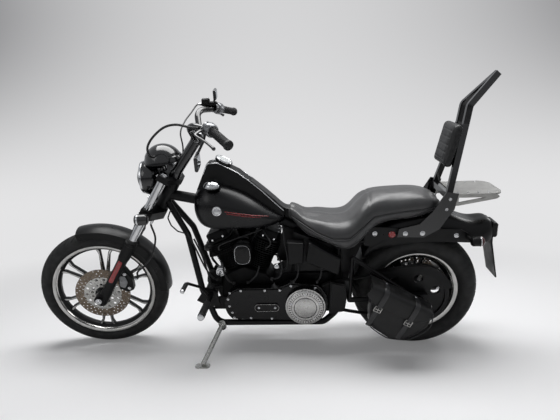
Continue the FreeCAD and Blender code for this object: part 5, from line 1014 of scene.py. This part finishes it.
pad_leather = finish("matt_black_pad_leather", "#0F0F10", "#191919", (0.36, 0.5), 0.0024, 0.00012, 0.07)
swollen("backrest_cover", "backrest_pad", 0.004, 6, pad_hold, pad_groove, pad_leather)
pipes = []
for side in (-1, 1):
    along_x = np.linspace(214, 915, 110)
    seam = np.stack([along_x, 0 * along_x + side * 60, seat_shoulder(along_x)], 1)
    pipes.append(sweep(laid(seam, "seat", (0, -side, 0), 2.2), 3.4, 10))
piece("seat_piping", pipes, "chassis", piping_leather)
studs = hex_bolts(laid([(940, 0, 840)], "seat", (-1, 0, -1)), (0.7, 0, 0.7), 5, 4)
piece("seat_studs", studs, "chassis", chrome)

# Bag
# A leather bag on the swingarm: its shell sags between the mounts, a slanted lid with a flap
# covers it, and two straps with buckles hold the flap down. Its edges are piped.

left_side = np.array([(698, 207), (664, 209), (636, 224), (600, 252), (573, 283), (574, 330), (580, 400),
                      (592, 488)], float)
right_side = np.array([(698, 207), (734, 199), (768, 203), (812, 226), (852, 258), (864, 285), (868, 315),
                       (869, 344)], float)
BAG_MIDDLE, BAG_HALF = -262, 55
share_at = np.linspace(0, 1, 34)
knots = np.linspace(0, 1, len(left_side))
chains = [np.stack([np.interp(share_at, knots, side[:, at]) for at in (0, 1)], 1)
          for side in (left_side, right_side)]
ring_turn = whole_turn(72)
run = squared(np.cos(ring_turn), 0.34)
side_of = squared(np.sin(ring_turn), 0.34)
outer_face = side_of < 0
bag_rings = []
for wall in (0.0, 3.6):
    rows = []
    for share, left, right in zip(share_at, *chains):
        middle = (left + right) / 2
        half = (right - left) / 2
        length = max(np.linalg.norm(half), 1.0)
        belly = 9 * math.sin(math.pi * min(1, share * 1.1)) * (1 - np.abs(run) ** 2.4)
        y = BAG_MIDDLE + side_of * (BAG_HALF - wall) + np.where(outer_face, -belly, 0)
        reach = (length - wall) / length
        dip = 3.0 * math.sin(math.pi * share) * np.cos(3 * run + 1)
        z = middle[1] + half[1] * run * reach + wall * (1 - share) * 1.4 - dip * outer_face
        rows.append(np.stack([middle[0] + half[0] * run * reach, y, z], 1))
    bag_rings.append(np.stack(rows))
shell = np.concatenate([bag_rings[0], bag_rings[1][::-1]])
bag_leather = finish("oiled_black_bag_leather", "#0A0A0B", "#141414", (0.36, 0.5), 0.0026, 0.00016, 0.06,
                     Specular_IOR_Level=0.35)
bag_shell = piece("bag_shell", [skin(shell, around=True)], "chassis", bag_leather,
                  ("bag_body",), sharp=50)
SLOPE = np.array((283.0, 0, -149.5)) / math.hypot(283, 149.5)
RISE = np.array((149.5, 0, 283.0)) / math.hypot(283, 149.5)
LID_FRONT = np.array((588.0, 0, 494.0))
cover = np.array([(-207, 1.2), (-222, 4.5), (-245, 7.5), (-272, 8.5), (-298, 7), (-316, 1),
                  (-325, -9), (-329, -26), (-331, -50), (-330, -74), (-328, -84)])
cover = smooth(cover, 4)
LID_LENGTH, LID_LEATHER = 318, 3.4
step_out = np.gradient(cover, axis=0)
step_out = np.stack([step_out[:, 1], -step_out[:, 0]], 1) / np.linalg.norm(step_out, axis=1, keepdims=True)
step_out *= np.sign(step_out[20, 1])
flap_drop = np.clip((-cover[:, 1:] - 10) / 74, 0, 1)
lid_rows = []
for at in np.linspace(0, 1, 30):
    from_middle = abs(2 * at - 1)
    rise = 0.72 + 0.28 * (1 - from_middle ** 8)
    outer = LID_FRONT + SLOPE * (at * LID_LENGTH - 1) + cover[:, 1:] * RISE * rise + cover[:, :1] * SIDEWAYS
    outer = outer + flap_drop * (UPWARD * 14 * from_middle ** 3)
    inner = outer - LID_LEATHER * (step_out[:, :1] * SIDEWAYS + step_out[:, 1:] * RISE)
    lid_rows.append(np.concatenate([outer, inner[::-1]]))
lid_shell = capped(np.stack(lid_rows))
lid_piece = piece("bag_flap", [lid_shell], "bag_lid", bag_leather, ("bag_lid",), sharp=50)
straps, low_straps, buckles, bag_studs = [], [], [], []
upper_strap = smooth([(-236, 10), (-272, 11.4), (-298, 10), (-319, 2.5), (-329, -9), (-333, -28),
                      (-334.5, -52), (-334, -88)], 4)
lower_strap = smooth([(-330, -84), (-329, -110), (-328, -150), (-325, -196)], 4)
box = eased([(-17, -13), (17, -13), (17, 13), (-17, 13)], 4)
for along_it in (74, 236):
    foot = LID_FRONT + SLOPE * along_it
    for strap, line in ((straps, upper_strap), (low_straps, lower_strap)):
        strap.append(sweep(foot + line[:, :1] * SIDEWAYS + line[:, 1:] * RISE, 1.0, 12, (1.7, 12.5)))
    spot = foot - 97 * RISE - 331.5 * SIDEWAYS
    ring_of = np.stack([spot + p[0] * SLOPE + p[1] * RISE for p in smooth(np.vstack([box, box[:1]]), 2)])
    buckles.append(sweep(ring_of, 2.3, 8))
    buckles.append(sweep(np.stack([spot + t * SLOPE + (0, -2, 0) for t in (-14, 0, 14)]), 1.8, 8))
    buckles.append(sweep(np.stack([spot + t * RISE + (0, -2.8, 0) for t in (-12, 0, 12)]), 1.5, 8))
    bag_studs += hex_bolts([foot + RISE * 12.5 - 258 * SIDEWAYS], RISE, 4.5, 2.5)
piece("bag_straps_upper", straps, "bag_lid", piping_leather)
piece("bag_lid_studs", bag_studs, "bag_lid", chrome)
piece("bag_straps_lower", low_straps, "chassis", piping_leather)
piece("bag_buckles", buckles, "chassis", carrier_steel)
rim = smooth(np.concatenate([left_side[:0:-1], right_side[1:]]), 5)
edge_pipe = np.stack([rim[:, 0], 0 * rim[:, 0] + BAG_MIDDLE - BAG_HALF, rim[:, 1]], 1)
piece("bag_piping", [sweep(edge_pipe, 3.0, 8)], "chassis", piping_leather)

# Engine
# Black finned cylinders between cast covers, with rubber plug leads. Bolts, pushrod tubes and
# the rims of the covers are bright, and the derby cover is a turned disc held by five screws.

BANK = math.radians(22.5)
CRANK = np.array((-45.0, 0, 330))
CLUTCH = np.array((267.0, 0, 304))
HORN_X, HORN_Z = -45, 580
CLEANER_MIDDLE = np.array((-45.0, 0, 600))


def on_bank(side, along, aside, across):
    """Point of a cylinder bank, side -1 in front and 1 behind."""
    rise, reach = math.cos(BANK), math.sin(BANK)
    return CRANK + along * np.array((side * reach, 0, rise)) + aside * np.array((rise, 0, -side * reach)) \
        + across * SIDEWAYS


def round_of(middle, radius, depth, count, first):
    """Even places round a circle in the upright plane, at a depth to the side, from an angle on."""
    return [(middle[0] + radius * math.cos(a), depth, middle[2] + radius * math.sin(a))
            for a in np.radians(first + 360 / count * np.arange(count))]


engine_black = finish("wrinkle_black_on_engine_castings", "#040405", "#080809", (0.42, 0.6), 0.0013,
                      0.00005, 0.05, Specular_IOR_Level=0.14)
cover_black = finish("gloss_black_engine_cover", "#050506", "#09090A", (0.18, 0.3), 0.002, 0.00001, 0.1,
                     Specular_IOR_Level=0.3)
for name in ("cylinders", "rocker_boxes", "engine_cases", "engine_trim"):
    dress(name, engine_black)
dress("primary_cover", cover_black)
dress("air_cleaner", cover_black)
engine_bolts, leads, tubes = [], [], []
for side in (-1, 1):
    axis = np.array((side * math.sin(BANK), 0, math.cos(BANK)))
    top_bolts = [on_bank(side, 379.6, aside, across) for aside in (-42, 42) for across in (-46, 0, 46)]
    side_bolts = [on_bank(side, 345, aside, across) for aside in (-30, 30) for across in (-76.6, 76.6)]
    engine_bolts += hex_bolts(top_bolts, axis, 5, 5) + hex_bolts(side_bolts, SIDEWAYS, 4, 3)
    plug = on_bank(side, 296, 8 * side, -86)
    lead = [plug + (0, -4, 0), plug + (0, -26, 4), plug + (24, -30, 34), (60, -60, 690), (90, -40, 704)]
    leads.append(sweep(smooth(lead, 10), 4, 10))
    leads.append(lathe(eased([(0, -10), (9, -10), (10, 2), (8, 18), (5, 26), (0, 26)], 2), plug,
                       -SIDEWAYS, 24))
    for aside in (-20, 20):
        head = on_bank(side, 327, aside, 107)
        foot = np.array((CRANK[0] + side * 30 + aside * 0.7, 105, 459.0))
        run = head - foot
        length = np.linalg.norm(run)
        run /= length
        tubes.append(lathe([(9.2, 0), (12, 1), (12, 9), (9, 12), (9, length - 26), (12.5, length - 24),
                            (12.5, length - 14), (10, length - 12), (10, length - 2), (8.4, length - 2),
                            (8.4, 0)], foot, run, 32, ring=True))
outline = [(-108, 232), (-20, 229), (90, 225), (200, 221), (318, 218), (352, 262), (364, 304),
           (352, 350), (318, 398), (258, 406), (196, 412), (138, 388), (60, 388), (-64, 388), (-122, 376),
           (-133, 340), (-128, 300), (-116, 262)]
clear = [(x, -158.5, z) for x, z in outline if math.hypot(x - CLUTCH[0], z - CLUTCH[2]) > 106]
engine_bolts += hex_bolts(clear, -SIDEWAYS, 5, 4)
engine_bolts += hex_bolts([(x, -166.6, 292) for x in (26, 110)], -SIDEWAYS, 5, 3)
engine_bolts += hex_bolts(round_of(CLUTCH, 75, -192.2, 5, 90), -SIDEWAYS, 5, 3)
engine_bolts += hex_bolts(round_of(CRANK + (0, 0, 8), 76, 126.6, 6, 30), SIDEWAYS, 5, 4)
piece("engine_bolts", engine_bolts, "chassis", chrome)
piece("plug_leads", leads, "chassis", cable_rubber)
piece("pushrod_covers", tubes, "chassis", chrome)
turned = finish("turned_derby_disc", "#BAB9B7", "#C4C3C1", (0.24, 0.29), 0.002, 0.000006, 0.03, Metallic=1.0)
face = [(0, -195.6), (52, -195.2), (54.5, -193.4), (70, -192.4), (86, -192.3), (91, -190.4),
        (94, -187), (94, -181), (90, -181), (0, -181)]
piece("derby_disc", [lathe(face, CLUTCH, segments=140)], "chassis", turned, ("derby_cover",))
ticks = []
for at in np.radians(np.arange(0, 360, 9)):
    out = np.array((math.cos(at), 0, math.sin(at)))
    ticks.append(slab([(-1.3, 76), (1.3, 76), (1.6, 86), (-1.6, 86)], 192.2, 193.1, 0.2,
                      (CLUTCH, np.cross(out, SIDEWAYS), out, -SIDEWAYS)))
for line in ([(55.5, -192.9), (58.5, -192.9), (58.5, -193.9), (55.5, -193.9)],
             [(70, -192), (72, -192), (72, -193.2), (70, -193.2)]):
    ticks.append(lathe(eased(line, 0.4), CLUTCH, ring=True))
piece("derby_ticks", ticks, "chassis", satin_black)
rim = [(94.6, -179.6), (101.6, -179.6), (101.6, -181.6), (94.6, -182.6)]
rims = [lathe(eased(rim, 0.6), CLUTCH, ring=True)]
once_round = np.linspace(0, 2 * math.pi, 60)
c, s = np.cos(once_round), np.sin(once_round)
oval = np.stack([20 * c + np.where(c > 0, 110, 25), 0 * c - 166.8, 20 * s + 292], 1)
rims.append(sweep(oval, 1.0, 8))
piece("cover_rims", rims, "chassis", turned)
horn = [blob((HORN_X, -137, HORN_Z), (38, 9, 48), 3, count=28)]
piece("horn_face", horn, "chassis", cover_black)
horn_ring = np.stack([HORN_X + 39 * squared(c, 0.7), 0 * c - 138.4, HORN_Z + 50 * squared(s, 0.7)], 1)
FILTER = np.array((-172.0, 0, 468))
bright = [sweep(horn_ring, 1.3, 8), blob((125, -112, 501), (17, 13, 17), 2, count=20),
          lathe(eased([(0, 0), (20, 0), (20, 4), (13, 7), (0, 8)], 1.5), FILTER - 96 * SIDEWAYS,
                -SIDEWAYS, 36)]
for fin in range(7):
    fin_root = FILTER - (70 + 4.2 * fin) * SIDEWAYS
    bright.append(lathe(eased([(0, 0), (24, 0), (24, 2.4), (0, 2.4)], 0.6), fin_root, -SIDEWAYS, 36))
regulator = [blob((-243, 0, 300), (16, 62, 44), 6, count=16)]
for fin in range(11):
    level = 262 + 7.6 * fin
    fin_outline = eased([(-276, -60), (-258, -60), (-258, 60), (-276, 60)], 3)
    regulator.append(slab(fin_outline, level, level + 3, 0.6, (np.zeros(3), REARWARD, SIDEWAYS, UPWARD)))
regulator.append(blob((-222, -30, 560), (13, 26, 30), 5, count=14))
piece("voltage_regulator", regulator, "chassis", engine_black)
lines = []
for points in ([(-196, -86, 420), (-214, -104, 440), (-250, -104, 500), (-290, -96, 600), (-338, -66, 690)],
               [(-172, -60, 372), (-222, -90, 380), (-240, -94, 460), (-262, -92, 560), (-300, -78, 650)],
               [(150, -96, 470), (176, -118, 500), (182, -120, 560), (170, -96, 620), (160, -44, 700)],
               [(210, -150, 432), (232, -156, 470), (236, -142, 520), (224, -128, 560)],
               [(330, -150, 430), (348, -164, 470), (352, -150, 520), (340, -130, 540)],
               [(96, -112, 430), (132, -128, 446), (150, -126, 480), (148, -112, 520), (120, -80, 560)],
               [(-104, -110, 408), (-128, -122, 430), (-150, -112, 470), (-158, -92, 520)],
               [(-30, -108, 410), (-8, -122, 430), (20, -120, 462), (34, -100, 500)]):
    lines.append(sweep(smooth(points, 8), 4.6, 10))
    lines.append(lathe(eased([(0, -7), (8, -7), (8, 7), (0, 7)], 1.4), np.array(points[0], float),
                       (0, 0.2, 1), 20))
piece("engine_lines", lines, "chassis", cable_rubber)
lug = [(-222, 250), (-150, 250), (-150, 312), (-176, 330), (-222, 318)]
stay = [(112, 448), (196, 452), (206, 500), (180, 520), (120, 500)]
inner_cover = [(402, 626), (470, 611), (536, 628), (560, 596), (536, 540), (504, 474), (494, 400), (446, 350),
               (388, 348), (396, 462)]
# The plate across the middle fills the gap behind the rear cylinder: partly the dark parts there, partly
# painted shade.
shade_filler_plate = [(122, 506), (116, 596), (156, 648), (158, 776), (178, 792), (222, 784), (236, 640),
          (232, 560), (186, 506)]
plates = [slab(eased(outline, corner), hand * near, hand * far) for hand in (-1, 1)
          for outline, corner, near, far in ((lug, 6, 93, 99), (stay, 8, 72, 80), (inner_cover, 10, 62, 66))]
plates.append(slab(eased(shade_filler_plate, 10), -5, 5))
piece("engine_mounts_and_shade_plate", plates, "chassis", satin_black)
piece("engine_brightwork", bright, "chassis", chrome)
trim = [(79, 160), (87, 150), (87.6, 136), (83, 122), (79, 150)]
hub = [(0, 174), (36, 174), (40, 176.4), (30, 178), (0, 178.4)]
cleaner = [lathe(eased(trim, 2), CLEANER_MIDDLE, ring=True),
           lathe(eased(hub, 1), CLEANER_MIDDLE, segments=72)]
piece("air_cleaner_ring", cleaner, "chassis", chrome)
screws = hex_bolts(round_of(CLEANER_MIDDLE, 62, 171.6, 3, 90), SIDEWAYS, 5, 4)
piece("air_cleaner_screws", screws, "chassis", chrome)

# Exhaust
# Two mufflers in matt black ceramic coat on the right, with bright tips and clamp bands, and
# a slotted heat shield over the lower pipe.

ceramic = finish("matt_black_ceramic_coat", "#0B0B0B", "#161514", (0.5, 0.66), 0.001, 0.00004, 0.1)
dress("exhaust", ceramic)
PIPE_SIDE, LOWER_PIPE, UPPER_PIPE = 216, 226, 318
tips = []
for x, z, length in ((420, LOWER_PIPE, 640), (560, UPPER_PIPE, 620)):
    where = np.array((float(x), PIPE_SIDE, z))
    tip = [(30.5, -60), (30.5, 1), (34, 2), (38, -1), (43.6, -20), (44, -34), (43.3, -36), (37, -8),
           (33, -4), (33, -60)]
    tip = [(radius, length + at) for radius, at in tip]
    tips.append(lathe(eased(tip, 1), where, REARWARD, 96, ring=True))
    for at in (34, length - 150):
        band = [(43.2, at), (45.2, at + 1), (45.2, at + 15), (43.2, at + 16)]
        tips.append(lathe(eased(band, 0.8), where, REARWARD, 96, ring=True))
piece("muffler_tips_and_bands", tips, "chassis", chrome)


def on_pipe(at, radius, angle):
    """Places along the lower pipe, at a distance from its middle line and an angle above outwards."""
    return np.stack([at + 0 * angle, PIPE_SIDE + radius * np.cos(angle),
                     LOWER_PIPE + radius * np.sin(angle)], 1)


turn_of = np.linspace(-1.0, 1.0, 20)
outer_rows, inner_rows = [], []
for at, lift in ((14, 0.6), (17, 3.4), (24, 4.2), (200, 4.2), (372, 4.2), (379, 3.4), (382, 0.6)):
    outer_rows.append(on_pipe(at, 22 + lift, turn_of))
    inner_rows.append(on_pipe(at, 21.4 + 0.6 * lift, turn_of))
shields = [skin(np.stack(outer_rows + inner_rows[::-1]), along=True)]
for edge_at in (0, -1):
    rim_line = np.stack([rows[edge_at] for rows in outer_rows])
    shields.append(sweep(rim_line[1:-1], 0.9, 8))
piece("pipe_heat_shield", shields, "chassis", turned)
slots = []
for slot in range(7):
    at = 48 + 50 * slot
    ring_of = eased([(at, -0.42), (at + 9, -0.42), (at + 27, 0.42), (at + 18, 0.42)], 0.16, 4)
    slots.append(capped(np.stack([on_pipe(ring_of[:, 0], level, ring_of[:, 1]) for level in (26.0, 26.7)])))
piece("shield_slots", slots, "chassis", satin_black)

# Frame and running gear
# Satin black tubes and castings, with bright bolts at the joints, ribbed rubber on the pegs,
# a rubber belt, and a zinc-plated stand.

for name in ("frame_backbone", "frame_cradles", "swingarm", "foot_controls", "side_boxes", "belt_guards"):
    dress(name, satin_black)
dress("fender_and_struts", fender_paint)
dress("tail_lights", satin_black)
dress("rear_axle_set", satin_black)
dress("drive_pulley", black_cast)
dress("drive_belt", tyre_rubber)
stand_steel = finish("zinc_plated_stand", "#A9A9A6", "#BFBFBB", (0.22, 0.34), 0.0015, 0.00001,
                     0.04, Metallic=1.0)
dress("side_stand", stand_steel)
pegs, peg_caps = [], []
for side in (-1, 1):
    start = np.array((-223.5, side * 236, 362.8))
    run = np.array((-4.0, side * 220, 6)) / np.linalg.norm((4, 220, 6))
    profile = [(13, 0), (17, 0), (18, 3)]
    for rib in range(15):
        profile += [(15.6, 5 + 8 * rib), (15.6, 8 + 8 * rib), (17.8, 9 + 8 * rib), (17.8, 12 + 8 * rib)]
    profile += [(18, 127), (18, 132), (13, 132)]
    pegs.append(lathe(profile, start, run, 36, ring=True))
    peg_caps.append(lathe([(0, 146), (10, 145.5), (16, 142), (17, 137), (17, 132.5), (0, 132.5)],
                          start, run, 40))
    start = np.array((-312.0, side * 262, 484))
    pegs.append(lathe(eased([(7, 0), (11, 0), (11.6, 6), (10, 12), (11.6, 18), (10, 24), (11.6, 30),
                             (10, 36), (11.6, 42), (10, 48), (11.6, 54), (11, 72), (7, 72)], 1), start,
                      side * SIDEWAYS, 28, ring=True))
    peg_caps.append(lathe([(0, 80), (8, 79), (11, 75), (11, 72.4), (0, 72.4)], start, side * SIDEWAYS, 28))
piece("peg_rubbers", pegs, "chassis", grip_rubber)
piece("peg_caps", peg_caps, "chassis", chrome)
STRUT_INNER, STRUT_OUTER = 130.2, 149.2
dome_bolt = [(0, 7), (6, 7), (9, 5), (9.6, 2), (12, 1.6), (12, 0), (0, 0)]
dome_places = [(617, STRUT_INNER, 678), (1010, STRUT_INNER, 660), (760, STRUT_OUTER, 682),
               (842, STRUT_OUTER, 682)]
bolts, discs = [], []
for side in (-1, 1):
    outwards = side * SIDEWAYS
    bolts += [lathe(dome_bolt, np.array((x, side * y, z)), outwards, 28) for x, y, z in dome_places]
    bolts += hex_bolts([(x, side * STRUT_OUTER, z) for x, z in ((948, 800), (962, 850))], outwards, 6, 5)
    bolts += hex_bolts([REAR_AXLE + SIDEWAYS * side * 168.6], outwards, 11, 6)
    bolts += hex_bolts([(x, side * 136, 372) for x in (-262, -206)], outwards, 6, 4)
    disc_place = np.array((700.0, side * STRUT_INNER, 672))
    discs.append(lathe([(0, 6), (14, 5.6), (17, 3), (17, 0), (0, 0)], disc_place, outwards, 48))
piece("frame_bolts", bolts, "chassis", chrome)
piece("side_reflectors", discs, "chassis", red_reflector)

# Sissy bar, rack and tail
# Gloss black square bar, a brushed steel rack plate, and lamps with ribbed red lenses.

dress("sissy_bar", gloss_black)
brushed = finish("brushed_rack_steel", "#A4A3A0", "#B6B5B2", (0.34, 0.46), 0.0016, 0.000004,
                 0.05, Metallic=1.0)
dress("luggage_rack", brushed)
lens = [blob((1225, 0, 651), (16, 52, 37), 5, count=24)]
for level in 623 + 7 * np.arange(9):
    lens.append(sweep([(1241.2, y, level) for y in (-44, 0, 44)], 1.1, 6))
rims = []
turn_lens = [(0, 62), (12, 61), (19, 56), (22.6, 49), (23.6, 44), (0, 44)]
for side in (-1, 1):
    turn_lamp = np.array((1062.0, side * 184, 648))
    lens.append(lathe(turn_lens, turn_lamp, REARWARD, 48))
    rims.append(lathe(eased([(22.8, 40), (24.4, 41), (24.4, 45), (22.8, 46)], 0.6), turn_lamp, REARWARD,
                      48, ring=True))
piece("tail_lenses", lens, "chassis", red_lens)
piece("rear_turn_rings", rims, "chassis", chrome)
screw_places = [(x, side * 96, 866.2) for x in (1012, 1060, 1108, 1156) for side in (-1, 1)]
piece("rack_screws", hex_bolts(screw_places, UPWARD, 4.5, 3), "chassis", chrome)
